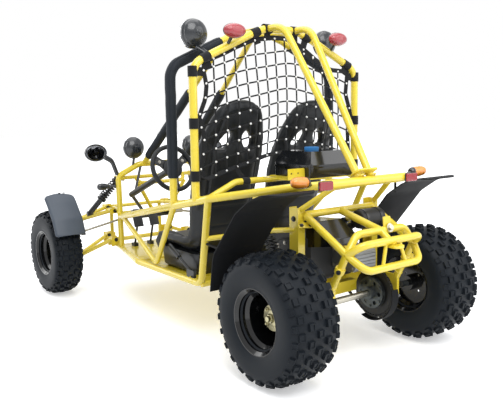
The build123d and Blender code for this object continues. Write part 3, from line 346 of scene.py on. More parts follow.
def spaced(points: Sequence[Vector], gap: float) -> list[Vector]:
    """Points at even spacing along a route.

    Args:
        points: The route.
        gap: The spacing aimed for.

    Returns:
        Evenly spaced points, with both ends.
    """
    lengths = [(b - a).length for a, b in zip(points, points[1:])]
    count = max(1, round(sum(lengths) / gap))
    even = []
    run, passed = 0, 0.0
    for step in range(count + 1):
        want = sum(lengths) * step / count
        while run < len(lengths) - 1 and passed + lengths[run] < want:
            passed += lengths[run]
            run += 1
        even.append(points[run].lerp(points[run + 1], min(1.0, (want - passed) / lengths[run])))
    return even


def facing(direction: Vector, roll_to: Vector = UP) -> Matrix:
    """A turn that lays local Z along a direction and local Y near another.

    Args:
        direction: Where local Z points.
        roll_to: What local Y leans to.

    Returns:
        The turn, as a matrix of four rows.
    """
    z = direction.normalized()
    x = roll_to.cross(z)
    if x.length < 1e-4:
        x = AHEAD.cross(z)
    x.normalize()
    return Matrix((x, z.cross(x), z)).transposed().to_4x4()


def aimed(spot: Vector, direction: Vector, roll_to: Vector = UP) -> Matrix:
    """A place at a spot, with local Z along a direction and local Y near another."""
    return Matrix.Translation(spot) @ facing(direction, roll_to)


def circle(radius: float, count: int) -> list[Pair]:
    """Points of a round outline."""
    turns = [2 * math.pi * step / count for step in range(count)]
    return [(radius * math.cos(t), radius * math.sin(t)) for t in turns]


def rounded_box(width: float, height: float, radius: float, steps: int = 3) -> list[Pair]:
    """Points of a rectangle's outline with rounded corners.

    Args:
        width: Its size along X.
        height: Its size along Y.
        radius: Radius of the corners.
        steps: Runs in each corner.

    Returns:
        The points, in order.
    """
    outline = []
    for quarter, (sx, sy) in enumerate(((1, 1), (-1, 1), (-1, -1), (1, -1))):
        for step in range(steps + 1):
            turn = math.pi / 2 * (quarter + step / steps)
            outline.append((sx * (width / 2 - radius) + radius * math.cos(turn),
                            sy * (height / 2 - radius) + radius * math.sin(turn)))
    return outline


class Sketch:
    """A mesh in the making, from lofted rings."""

    def __init__(self) -> None:
        """Starts with no faces."""
        self.points: list[Vector] = []
        self.faces: list[tuple[int, ...]] = []

    def loft(self, rings: Sequence[Sequence[Vector]], loop: bool = False) -> Sketch:
        """Skins a run of closed rings with equal point counts, and closes both ends.

        Args:
            rings: The rings, in order.
            loop: Joins the last ring to the first, with no ends.

        Returns:
            This sketch.
        """
        base, count = len(self.points), len(rings[0])
        self.points += [Vector(point) for ring in rings for point in ring]
        for row in range(len(rings) if loop else len(rings) - 1):
            low, high = base + row * count, base + (row + 1) % len(rings) * count
            for i in range(count):
                j = (i + 1) % count
                self.faces.append((low + i, low + j, high + j, high + i))
        if not loop:
            self.faces.append(tuple(range(base, base + count))[::-1])
            last = base + (len(rings) - 1) * count
            self.faces.append(tuple(range(last, last + count)))
        return self

    def tube(self, path: Sequence[Vector], outline: Profile, loop: bool = False,
             swell: Callable[[float], float] = lambda share: 1.0, up: Vector = UP) -> Sketch:
        """Sweeps an outline along a path.

        Args:
            path: Points of the path.
            outline: The section, in its own plane.
            loop: The path closes on itself.
            swell: Scale of the section by share of the path.
            up: What the section's own Y leans to.

        Returns:
            This sketch.
        """
        rings = []
        side = None
        for index, point in enumerate(path):
            ahead = path[(index + 1) % len(path)] if loop or index + 1 < len(path) else point
            behind = path[index - 1] if loop or index else point
            along = (ahead - behind).normalized()
            if side is None:
                side = up.cross(along) if up.cross(along).length > 0.05 else AHEAD.cross(along)
            side = (side - along * side.dot(along)).normalized()
            lift = along.cross(side)
            size = swell(index / max(1, len(path) - 1))
            rings.append([point + side * a * size + lift * b * size for a, b in outline])
        return self.loft(rings, loop)

    def lathe(self, profile: Profile, place: Matrix, count: int = 32, loop: bool = False) -> Sketch:
        """Turns a profile of (radius, height) points about local Z.

        Args:
            profile: The outline from one end to the other.
            place: Where the turned shape goes.
            count: Points round it.
            loop: The profile is a closed ring.

        Returns:
            This sketch.
        """
        rings = [[place @ Vector((x, y, height)) for x, y in circle(max(radius, 1e-5), count)]
                 for radius, height in profile]
        return self.loft(rings, loop)

    def prism(self, outline: Profile, low: float, high: float, place: Matrix, edge: float = 0.0) -> Sketch:
        """Raises an outline along local Z, with its two ends eased.

        Args:
            outline: Points of the outline.
            low: Lower end.
            high: Upper end.
            place: Where the prism goes.
            edge: Width of the eased edge.

        Returns:
            This sketch.
        """
        reach = max(math.hypot(x, y) for x, y in outline)
        steps = ((low, 0.0), (high, 0.0))
        if edge:
            steps = ((low, edge), (low + edge, 0.0), (high - edge, 0.0), (high, edge))
        rings = []
        for height, inset in steps:
            ease = 1.0 - inset / reach
            rings.append([place @ Vector((x * ease, y * ease, height)) for x, y in outline])
        return self.loft(rings)

    def mesh(self, name: str) -> Mesh:
        """Makes the plain mesh, merged and facing outwards.

        Args:
            name: The mesh's name.

        Returns:
            The mesh.
        """
        mesh = bpy.data.meshes.new(name)
        mesh.from_pydata(self.points, [], self.faces)
        work = bmesh.new()
        work.from_mesh(mesh)
        bmesh.ops.remove_doubles(work, verts=work.verts, dist=2e-6)
        bmesh.ops.dissolve_degenerate(work, dist=1e-6, edges=work.edges)
        bmesh.ops.recalc_face_normals(work, faces=work.faces)
        for face in work.faces:
            face.smooth = True
        for edge in work.edges:
            edge.smooth = edge.calc_face_angle(0.0) < math.radians(SHARP_ANGLE)
        work.to_mesh(mesh)
        work.free()
        return mesh


class Workshop:
    """Turns sketches into pieces that ride on the frame."""

    def __init__(self, paints: Paintbox) -> None:
        """Keeps the materials and builds the repeat and coil trees.

        Args:
            paints: The finishes.
        """
        self.paints = paints
        self.repeat_tree = self._repeat_tree()
        self.coil_tree = self._coil_tree()

    def piece(self, name: str, shape: Sketch | Mesh, finish: str, body: str = "chassis",
              replaces: Sequence[str] = (), slot: str | None = None) -> Object:
        """Makes a piece that rides on a body.

        Args:
            name: The piece's name.
            shape: Its sketch or mesh.
            finish: Its finish.
            body: The body it moves with.
            replaces: Nodes that it stands for.
            slot: The record's slot, where it differs from the finish; not used.

        Returns:
            The piece.
        """
        mesh = shape.mesh(name) if isinstance(shape, Sketch) else shape
        mesh.materials.clear()
        mesh.materials.append(self.paints[finish])
        made = added(name, mesh)
        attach(made, body)
        if replaces:
            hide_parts(*replaces)
        LOG.info("%s: %d faces on %s", name, len(mesh.polygons), body)
        return made

    @staticmethod
    def _socket(tree: NodeTree, name: str, kind: str, way: str = "INPUT") -> str:
        """Adds a named socket to a tree and gives its identifier."""
        return tree.interface.new_socket(name, in_out=way, socket_type=kind).identifier

    @staticmethod
    def _wire(tree: NodeTree, rows: Iterable[tuple]) -> None:
        """Links a tree's nodes by rows of (node, output, node, input)."""
        for start, given, end, taken in rows:
            tree.links.new(start.outputs[given], end.inputs[taken])

    def _repeat_tree(self) -> dict:
        """Builds the tree that sets one small shape on many points.

        Returns:
            The tree and its input identifiers.
        """
        tree = bpy.data.node_groups.new("repeat_on_points", "GeometryNodeTree")
        self._socket(tree, "Points", "NodeSocketGeometry")
        ids = {"shape": self._socket(tree, "Shape", "NodeSocketObject"),
               "finish": self._socket(tree, "Finish", "NodeSocketMaterial")}
        self._socket(tree, "Repeats", "NodeSocketGeometry", "OUTPUT")
        make = tree.nodes.new
        inlet, outlet = make("NodeGroupInput"), make("NodeGroupOutput")
        shape = make("GeometryNodeObjectInfo")
        spread = make("GeometryNodeInstanceOnPoints")
        for attribute, target in (("turn", "Rotation"), ("size", "Scale")):
            named = make("GeometryNodeInputNamedAttribute")
            named.data_type = "FLOAT_VECTOR"
            named.inputs["Name"].default_value = attribute
            tree.links.new(named.outputs["Attribute"], spread.inputs[target])
        real = make("GeometryNodeRealizeInstances")
        paint = make("GeometryNodeSetMaterial")
        self._wire(tree, ((inlet, "Points", spread, "Points"), (inlet, "Shape", shape, "Object"),
                          (shape, "Geometry", spread, "Instance"), (spread, "Instances", real, "Geometry"),
                          (real, "Geometry", paint, "Geometry"), (inlet, "Finish", paint, "Material"),
                          (paint, "Geometry", outlet, "Repeats")))
        return {"tree": tree, "ids": ids}

    def _coil_tree(self) -> dict:
        """Builds the tree that winds a wire into a coil.

        Returns:
            The tree and its input identifiers.
        """
        tree = bpy.data.node_groups.new("wound_coil", "GeometryNodeTree")
        self._socket(tree, "Base", "NodeSocketGeometry")
        ids = {name: self._socket(tree, name, "NodeSocketFloat") for name in ("Turns", "Radius", "Height", "Wire")}
        ids["Finish"] = self._socket(tree, "Finish", "NodeSocketMaterial")
        self._socket(tree, "Coil", "NodeSocketGeometry", "OUTPUT")
        make = tree.nodes.new
        inlet, outlet = make("NodeGroupInput"), make("NodeGroupOutput")
        spiral = make("GeometryNodeCurveSpiral")
        spiral.inputs["Resolution"].default_value = 26
        section = make("GeometryNodeCurvePrimitiveCircle")
        section.inputs["Resolution"].default_value = 10
        skin = make("GeometryNodeCurveToMesh")
        skin.inputs["Fill Caps"].default_value = True
        smooth = make("GeometryNodeSetShadeSmooth")
        real = make("GeometryNodeRealizeInstances")
        paint = make("GeometryNodeSetMaterial")
        self._wire(tree, ((inlet, "Turns", spiral, "Rotations"), (inlet, "Radius", spiral, "Start Radius"),
                          (inlet, "Radius", spiral, "End Radius"), (inlet, "Height", spiral, "Height"),
                          (inlet, "Wire", section, "Radius"), (spiral, "Curve", skin, "Curve"),
                          (section, "Curve", skin, "Profile Curve"), (skin, "Mesh", smooth, "Geometry"),
                          (smooth, "Geometry", real, "Geometry"), (real, "Geometry", paint, "Geometry"),
                          (inlet, "Finish", paint, "Material"), (paint, "Geometry", outlet, "Coil")))
        return {"tree": tree, "ids": ids}

    @staticmethod
    def _grown(base: Mesh, tree: dict, values: dict) -> Mesh:
        """Runs a tree on a base mesh.

        Args:
            base: What the tree starts from.
            tree: The tree and its identifiers.
            values: Input values by name.

        Returns:
            The result as a plain mesh.
        """
        holder = added("holder", base)
        modifier = holder.modifiers.new("grow", "NODES")
        modifier.node_group = tree["tree"]
        for name, value in values.items():
            modifier[tree["ids"][name]] = value
        mesh = evaluated(holder)
        holder.modifiers.remove(modifier)
        bpy.data.objects.remove(holder)
        return mesh

    def repeats(self, name: str, shape: Sketch, places: Sequence[Matrix], finish: str) -> Mesh:
        """Sets one shape at many places.

        Args:
            name: The mesh's name.
            shape: The shape at the origin.
            places: Where each copy goes.
            finish: Its finish.

        Returns:
            All copies as one mesh.
        """
        base = bpy.data.meshes.new(name + "_points")
        base.from_pydata([place.to_translation() for place in places], [], [])
        turns = base.attributes.new("turn", "FLOAT_VECTOR", "POINT")
        sizes = base.attributes.new("size", "FLOAT_VECTOR", "POINT")
        for index, place in enumerate(places):
            turns.data[index].vector = place.to_euler()
            sizes.data[index].vector = place.to_scale()
        single = added(name + "_one", shape.mesh(name + "_one"))
        mesh = self._grown(base, self.repeat_tree, {"shape": single, "finish": self.paints[finish]})
        bpy.data.objects.remove(single)
        mesh.name = name
        return mesh

    def scatter(self, name: str, shape: Sketch, places: Sequence[Matrix], finish: str, body: str = "chassis",
                slot: str | None = None) -> None:
        """Makes a piece from one shape at many places.

        Args:
            name: The piece's name.
            shape: The shape at the origin.
            places: Where each copy goes.
            finish: Its finish.
            body: The body it moves with.
            slot: The record's slot, where it differs from the finish; passed on to piece, which does not use it.
        """
        self.piece(name, self.repeats(name, shape, places, finish), finish, body, slot=slot)

    def coil(self, turns: float, radius: float, height: float, wire: float, place: Matrix) -> Mesh:
        """Winds one coil spring.

        Args:
            turns: How many turns it has.
            radius: Radius at the wire's middle.
            height: Its length.
            wire: The wire's radius.
            place: Where its lower end goes.

        Returns:
            The spring's mesh.
        """
        values = {"Turns": turns, "Radius": radius, "Height": height, "Wire": wire,
                  "Finish": self.paints["black_steel"]}
        mesh = self._grown(bpy.data.meshes.new("coil_base"), self.coil_tree, values)
        mesh.transform(place)
        return mesh


def added(name: str, data: ID) -> Object:
    """A new object of the scene that holds some data."""
    made = bpy.data.objects.new(name, data)
    bpy.context.scene.collection.objects.link(made)
    return made


def evaluated(holder: Object) -> Mesh:
    """An object's mesh as its modifiers leave it."""
    depsgraph = bpy.context.evaluated_depsgraph_get()
    return bpy.data.meshes.new_from_object(holder.evaluated_get(depsgraph))


def joined(name: str, meshes: Iterable[Mesh]) -> Mesh:
    """Several meshes as one.

    Args:
        name: The new mesh's name.
        meshes: What is joined.

    Returns:
        The joined mesh.
    """
    work = bmesh.new()
    for mesh in meshes:
        work.from_mesh(mesh)
    whole = bpy.data.meshes.new(name)
    work.to_mesh(whole)
    work.free()
    return whole


@dataclass
class Studio:
    """Camera at the photograph's place, pale floor and soft light.

    Attributes:
        lights: Lamps as (name, place, power, size).
        floor_glow: Distances between which the floor's glow rises, and its two strengths.
    """

    eye: Point = (-2.9724, 2.0955, 1.1037)
    yaw: float = 0.6527
    dip: float = 0.1323
    roll: float = -0.0159
    lens_mm: float = 45.69
    sensor_mm: float = 36.0
    lights: Sequence[tuple[str, Point, float, float]] = (
        ("key", (-3.1, 1.3, 4.3), 150.0, 3.0), ("fill", (-3.6, -2.2, 2.6), 60.0, 3.0),
        ("top", (0.4, 0.0, 4.6), 90.0, 4.0), ("front", (3.6, 2.4, 2.2), 50.0, 2.5))
    light_aim: Point = (0.0, 0.0, 0.6)
    sky: Colour = (0.93, 0.96, 1.0)
    sky_strength: float = 0.62
    floor_half: float = 40.0
    floor_z: float = -0.0005
    floor_tone: float = 0.9
    floor_rough: float = 0.9
    floor_glow: tuple[float, float, float, float] = (1.2, 5.0, 0.42, 1.0)

    def build(self) -> None:
        """Makes the camera, lights, world and floor."""
        self._camera()
        self._world()
        for name, place, power, size in self.lights:
            lamp = bpy.data.lights.new(name, "AREA")
            lamp.energy = power
            lamp.size = size
            holder = added(name, lamp)
            holder.matrix_world = aimed(Vector(place), Vector(place) - Vector(self.light_aim))
        self._floor()
        bpy.context.scene.view_settings.view_transform = "Standard"

    def _camera(self) -> None:
        """Sets the camera to the photograph's view."""
        look = Vector((math.cos(self.yaw) * math.cos(self.dip), -math.sin(self.yaw) * math.cos(self.dip),
                       -math.sin(self.dip)))
        right = Vector((-math.sin(self.yaw), -math.cos(self.yaw), 0.0))
        above = right.cross(look)
        side = right * math.cos(self.roll) + above * math.sin(self.roll)
        head = above * math.cos(self.roll) - right * math.sin(self.roll)
        data = bpy.data.cameras.new("camera")
        data.sensor_fit = "HORIZONTAL"
        data.sensor_width = self.sensor_mm
        data.lens = self.lens_mm
        camera = added("camera", data)
        turn = Matrix((side, head, -look)).transposed().to_4x4()
        camera.matrix_world = Matrix.Translation(self.eye) @ turn
        bpy.context.scene.camera = camera

    @staticmethod
    def _seen(tree: NodeTree) -> NodeSocket:
        """One where a camera, mirror or clear ray looks, and zero for plain light.

        Args:
            tree: The material's or world's node tree.

        Returns:
            The value socket.
        """
        path = tree.nodes.new("ShaderNodeLightPath")
        total = path.outputs["Is Camera Ray"]
        for name in ("Is Glossy Ray", "Is Transmission Ray"):
            total = combined(tree, "MAXIMUM", total, path.outputs[name])
        return total

    def _world(self) -> None:
        """A white backdrop that lights the object at a plain level."""
        world = bpy.data.worlds.new("studio")
        world.use_nodes = True
        bpy.context.scene.world = world
        tree = world.node_tree
        plain = tree.nodes["Background"]
        plain.inputs["Color"].default_value = (*self.sky, 1.0)
        plain.inputs["Strength"].default_value = self.sky_strength
        white = tree.nodes.new("ShaderNodeBackground")
        white.inputs["Color"].default_value = (1.0, 1.0, 1.0, 1.0)
        mix = tree.nodes.new("ShaderNodeMixShader")
        tree.links.new(self._seen(tree), mix.inputs["Fac"])
        tree.links.new(plain.outputs[0], mix.inputs[1])
        tree.links.new(white.outputs[0], mix.inputs[2])
        tree.links.new(mix.outputs[0], tree.nodes["World Output"].inputs["Surface"])

    def _floor(self) -> None:
        """A pale floor that keeps a soft shadow."""
        corners = [(x, y, self.floor_z) for x, y in circle(self.floor_half, 48)]
        mesh = bpy.data.meshes.new("floor")
        mesh.from_pydata(corners, [], [tuple(range(len(corners)))])
        material = bpy.data.materials.new("pale_floor")
        material.use_nodes = True
        tree = material.node_tree
        matt = tree.nodes["Principled BSDF"]
        matt.inputs["Base Color"].default_value = (self.floor_tone, self.floor_tone, self.floor_tone, 1.0)
        matt.inputs["Roughness"].default_value = self.floor_rough
        glow = tree.nodes.new("ShaderNodeEmission")
        both = tree.nodes.new("ShaderNodeAddShader")
        place = tree.nodes.new("ShaderNodeTexCoord")
        away = tree.nodes.new("ShaderNodeVectorMath")
        away.operation = "LENGTH"
        tree.links.new(place.outputs["Object"], away.inputs[0])
        fade = tree.nodes.new("ShaderNodeMapRange")
        for name, value in zip(("From Min", "From Max", "To Min", "To Max"), self.floor_glow):
            fade.inputs[name].default_value = value
        tree.links.new(away.outputs["Value"], fade.inputs["Value"])
        level = combined(tree, "MULTIPLY", self._seen(tree), fade.outputs["Result"])
        tree.links.new(level, glow.inputs["Strength"])
        tree.links.new(matt.outputs[0], both.inputs[0])
        tree.links.new(glow.outputs[0], both.inputs[1])
        tree.links.new(both.outputs[0], tree.nodes["Material Output"].inputs["Surface"])
        mesh.materials.append(material)
        floor = added("floor", mesh)


@dataclass(frozen=True)
class KnobbyTyre:
    """An off-road tyre: a smooth carcass with rows of square knobs.

    Attributes:
        profile: Half of the carcass section, bead to crown, as (radius, offset).
        rows: Knob rows as (offset, base radius, lean in degrees, stagger in steps, size).
        count: Knobs in each row.
        knob: Length, width and height of a knob.
        inner_share: Width of the carcass inside, as a share of its width outside.
    """

    profile: Profile
    rows: Sequence[tuple[float, float, float, float, float]]
    count: int
    knob: Point
    wall: float = 0.012
    inner_share: float = 0.86
    foot: float = 0.004
    rib: float = 0.0055
    rib_rise: float = 0.003

    def knob_shape(self) -> Sketch:
        """One tapered knob with a raised horseshoe on its top.

        Returns:
            The knob, standing along Z.
        """
        length, width, height = self.knob
        base = height - self.rib_rise
        ribs = (base - 0.001, height)
        shape = Sketch()
        self._bar(shape, (0, 0), (length, width), (-self.foot, base), 0.9)
        for side in SIDES:
            self._bar(shape, (0, side * (width * 0.45 - self.rib / 2)), (length * 0.9, self.rib), ribs, 0.85)
        self._bar(shape, (length * 0.45 - self.rib / 2, 0), (self.rib, width * 0.8), ribs, 0.85)
        return shape

    @staticmethod
    def _bar(shape: Sketch, middle: Pair, size: Pair, heights: Pair, taper: float) -> None:
        """Adds a tapered bar of the knob.

        Args:
            shape: The sketch it goes to.
            middle: Its middle.
            size: Its length and width at the foot.
            heights: Its foot and its top.
            taper: Size of the top as a share of the foot.
        """
        rings = []
        for z, ease in zip(heights, (1.0, taper)):
            rings.append([Vector((middle[0] + a * size[0] / 2 * ease, middle[1] + b * size[1] / 2 * ease, z))
                          for a, b in ((1, 1), (-1, 1), (-1, -1), (1, -1))])
        shape.loft(rings)

    def mesh(self, shop: Workshop, centre: Vector) -> Mesh:
        """Builds the tyre about a wheel centre.

        Args:
            shop: Where pieces are made.
            centre: The wheel's centre.

        Returns:
            Carcass and knobs as one mesh.
        """
        half = list(self.profile)
        crown = half + [(r, -y) for r, y in reversed(half[:-1])]
        inner = [(r - self.wall, y * self.inner_share) for r, y in reversed(crown)]
        carcass = Sketch().lathe(crown + inner, aimed(centre, ACROSS), 96, loop=True).mesh("carcass")
        places = []
        for offset, radius, lean, stagger, size in self.rows:
            for side in SIDES if offset else (1,):
                for step in range(self.count):
                    turn = 2 * math.pi * (step + stagger) / self.count
                    out = Vector((math.cos(turn), 0, math.sin(turn)))
                    tilt = math.radians(lean) * side
                    normal = out * math.cos(tilt) + ACROSS * math.sin(tilt)
                    spot = centre + out * radius + Vector((0, side * offset, 0))
                    ahead = ACROSS.cross(out) * (1 if step % 2 else -1)
                    places.append(aimed(spot, normal, normal.cross(ahead)) @ Matrix.Scale(size, 4))
        knobs = shop.repeats("knobs", self.knob_shape(), places, "tyre_rubber")
        return joined("tyre", (carcass, knobs))


@dataclass
class Assembly:
    """A sub-assembly that is made in a workshop."""

    shop: Workshop

    def build(self) -> None:
        """Makes the sub-assembly's pieces."""
        raise NotImplementedError


@dataclass
class Wheels(Assembly):
    """All four tyres and the bright hub fittings.

    Attributes:
        rear_nose: How far a rear hub reaches out of its disc.
        drum: Rear hub's foot, from the disc's face.
        flange: Rear hub's flange, from its own face.
        axle_nut: Radius, foot and top of the rear axle's nut.
        nut: Radius, height and eased edge of a wheel nut.
    """

    rear_tyre: KnobbyTyre = KnobbyTyre(
        profile=((0.1275, 0.1), (0.139, 0.1125), (0.15, 0.119), (0.176, 0.1262), (0.21, 0.1268), (0.2305, 0.1245),
                 (0.2425, 0.1165), (0.2525, 0.1045), (0.2605, 0.086), (0.2662, 0.06), (0.2665, 0.0)),
        rows=((0.0, 0.2665, 0, 0.0, 1.0), (0.045, 0.2655, 4, 0.5, 1.0), (0.087, 0.2592, 22, 0.0, 1.0),
              (0.111, 0.246, 50, 0.5, 0.86)),
        count=24, knob=(0.032, 0.03, 0.0128))
    front_tyre: KnobbyTyre = KnobbyTyre(
        profile=((0.1275, 0.069), (0.139, 0.081), (0.15, 0.0845), (0.173, 0.0882), (0.205, 0.0885), (0.2205, 0.0862),
                 (0.2315, 0.079), (0.2405, 0.0675), (0.248, 0.05), (0.2532, 0.028), (0.2535, 0.0)),
        rows=((0.0, 0.2535, 0, 0.0, 1.0), (0.034, 0.2515, 6, 0.5, 1.0), (0.064, 0.243, 28, 0.0, 0.95),
              (0.0735, 0.2345, 54, 0.5, 0.76)),
        count=24, knob=(0.031, 0.027, 0.0128))
    rear_y: float = 0.465
    front_y: float = 0.645
    rear_face: float = 0.4235
    front_face: float = 0.6355
    rear_nose: float = 0.062
    bolt_circle: float = 0.055
    nose_circle: float = 0.042
    plate: Profile = ((0.0156, 0.0), (0.036, 0.0), (0.034, 0.0045), (0.026, 0.006), (0.0156, 0.006))
    drum: Profile = ((0.0156, 0.0), (0.046, 0.0), (0.044, 0.01), (0.037, 0.018))
    flange: Profile = ((0.033, -0.014), (0.04, -0.008), (0.055, -0.0065), (0.057, -0.003), (0.055, 0.0),
                       (0.0156, 0.0))
    axle_nut: Point = (0.0205, -0.002, 0.016)
    axle_end: Profile = ((0.0, 0.016), (0.0125, 0.016), (0.0125, 0.026), (0.011, 0.028), (0.0, 0.028))
    nut: Point = (0.0105, 0.009, 0.0015)
    stud: Profile = ((0.0, 0.009), (0.005, 0.009), (0.005, 0.015), (0.0, 0.0165))
    nut_sink: float = 0.003

    def build(self) -> None:
        """Makes the tyres and hub fittings."""
        meshes = [self.rear_tyre.mesh(self.shop, station(0, side * self.rear_y, REAR_AXLE_Z)) for side in SIDES]
        self.shop.piece("rear_tyres_knobby", joined("rear_tyres_knobby", meshes), "tyre_rubber", "rear_wheel_set",
                        ("rear_tyres",))
        for side, name in zip(SIDES, SIDE_NAMES):
            mesh = self.front_tyre.mesh(self.shop, station(WHEELBASE, side * self.front_y, FRONT_AXLE_Z))
            self.shop.piece(f"front_{name}_tyre_knobby", mesh, "tyre_rubber", f"{name}_front_wheel",
                            (f"front_{name}_tyre",))
        for side, name in zip(SIDES, SIDE_NAMES):
            self._hub(f"front_{name}_hub", [(station(WHEELBASE, side * self.front_face, FRONT_AXLE_Z), side)],
                      f"{name}_front_wheel")
        self._hub("rear_hub", [(station(0, side * self.rear_face, REAR_AXLE_Z), side) for side in SIDES],
                  "rear_wheel_set", self.rear_nose)

    def _hub(self, name: str, spots: Sequence[tuple[Vector, int]], body: str, nose: float = 0.0) -> None:
        """Makes the bright hub plate and its four wheel nuts.

        Args:
            name: Name of the fittings.
            spots: Middle of each hub's face, with its side.
            body: The body they turn with.
            nose: How far the hub reaches out of the disc to its own flange.
        """
        ring = self.nose_circle if nose else self.bolt_circle
        plates = Sketch()
        places = []
        for foot, side in spots:
            spot = foot + Vector((0, side * nose, 0))
            place = aimed(spot, ACROSS * side)
            plates.lathe(self.plate, place, 32, loop=True)
            if nose:
                drum = [(radius, height - nose) for radius, height in self.drum]
                plates.lathe(drum + list(self.flange), place, 40, loop=True)
                radius, low, high = self.axle_nut
                plates.prism(circle(radius, 6), low, high, place, 0.002)
                plates.lathe(self.axle_end, place, 20)
            for step in range(4):
                turn = math.radians(45 + 90 * step)
                out = Vector((math.cos(turn), 0, math.sin(turn))) * ring
                places.append(aimed(spot + out - Vector((0, side * self.nut_sink, 0)), ACROSS * side))
        self.shop.piece(name + "_plate", plates, "zinc_gold", body, slot="bare_steel")
        radius, height, edge = self.nut
        nut = Sketch().prism(circle(radius, 6), 0.0, height, Matrix(), edge).lathe(self.stud, Matrix(), 10)
        self.shop.scatter(name + "_nuts", nut, places, "zinc_gold", body, slot="bare_steel")


@dataclass
class FoamSleeves(Assembly):
    """Slit foam sleeves on the front hoop's sides and the front stays."""

    hoop_x: float = 0.7
    half: float = 0.523
    foot_z: float = 0.817
    shoulder_z: float = 1.345
    corner: Pair = (0.18, 1.5)
    corner_share: float = 0.86
    bend: float = 0.09
    outer: float = 0.026
    hoop_bore: float = 0.0194
    stay_bore: float = 0.0174
    stay_low: Point = (1.7, 0.15, 0.818)
    stay_high: Point = (0.85, 0.086, 1.528)
    stay_ends: Pair = (0.07, 0.6085)
    sections: int = 28
    slit_at: int = 7
    slit: float = 0.0035
    step: float = 0.012
    dent: float = 0.0007
    end_ease: Pair = (0.9, 0.98)

    def build(self) -> None:
        """Makes the four sleeves as one padded piece."""
        shape = Sketch()
        for side in SIDES:
            shoulder = station(self.hoop_x, side * self.half, self.shoulder_z)
            top = shoulder.lerp(station(self.hoop_x, side * self.corner[0], self.corner[1]), self.corner_share)
            foot = station(self.hoop_x, side * self.half, self.foot_z)
            self._sleeve(shape, bent([foot, shoulder, top], self.bend), self.hoop_bore)
            low, high = sided(self.stay_low, side), sided(self.stay_high, side)
            self._sleeve(shape, [low.lerp(high, share) for share in self.stay_ends], self.stay_bore)
        self.shop.piece("foam_sleeves", shape, "black_foam", replaces=("foam_pads",))

    def _sleeve(self, shape: Sketch, route: Sequence[Vector], bore: float) -> None:
        """Adds one sleeve with a slit, faint dents and eased ends.

        Args:
            shape: The sketch it goes to.
            route: The tube's middle line.
            bore: Radius inside.
        """
        path = spaced(route, self.step)
        rings: list[list[Vector]] = []
        side = None
        for index, point in enumerate(path):
            along = (path[min(index + 1, len(path) - 1)] - path[max(index - 1, 0)]).normalized()
            side = along.orthogonal() if side is None else side
            side = (side - along * side.dot(along)).normalized()
            lift = along.cross(side)
            end = min(index, len(path) - 1 - index)
            ease = self.end_ease[end] if end < 2 else 1.0
            ring = []
            for step in range(self.sections):
                turn = 2 * math.pi * step / self.sections
                dent = self.dent * math.sin(index * 0.9 + 2 * turn) * math.sin(index * 0.23 + turn)
                radius = self.outer * ease + dent - (self.slit if step == self.slit_at else 0.0)
                ring.append(point + (side * math.cos(turn) + lift * math.sin(turn)) * radius)
            rings.append(ring)
        inner = [[p + (v - p).normalized() * bore for v in ring] for p, ring in zip(path, rings)]
        shape.loft(rings + inner[::-1], loop=True)


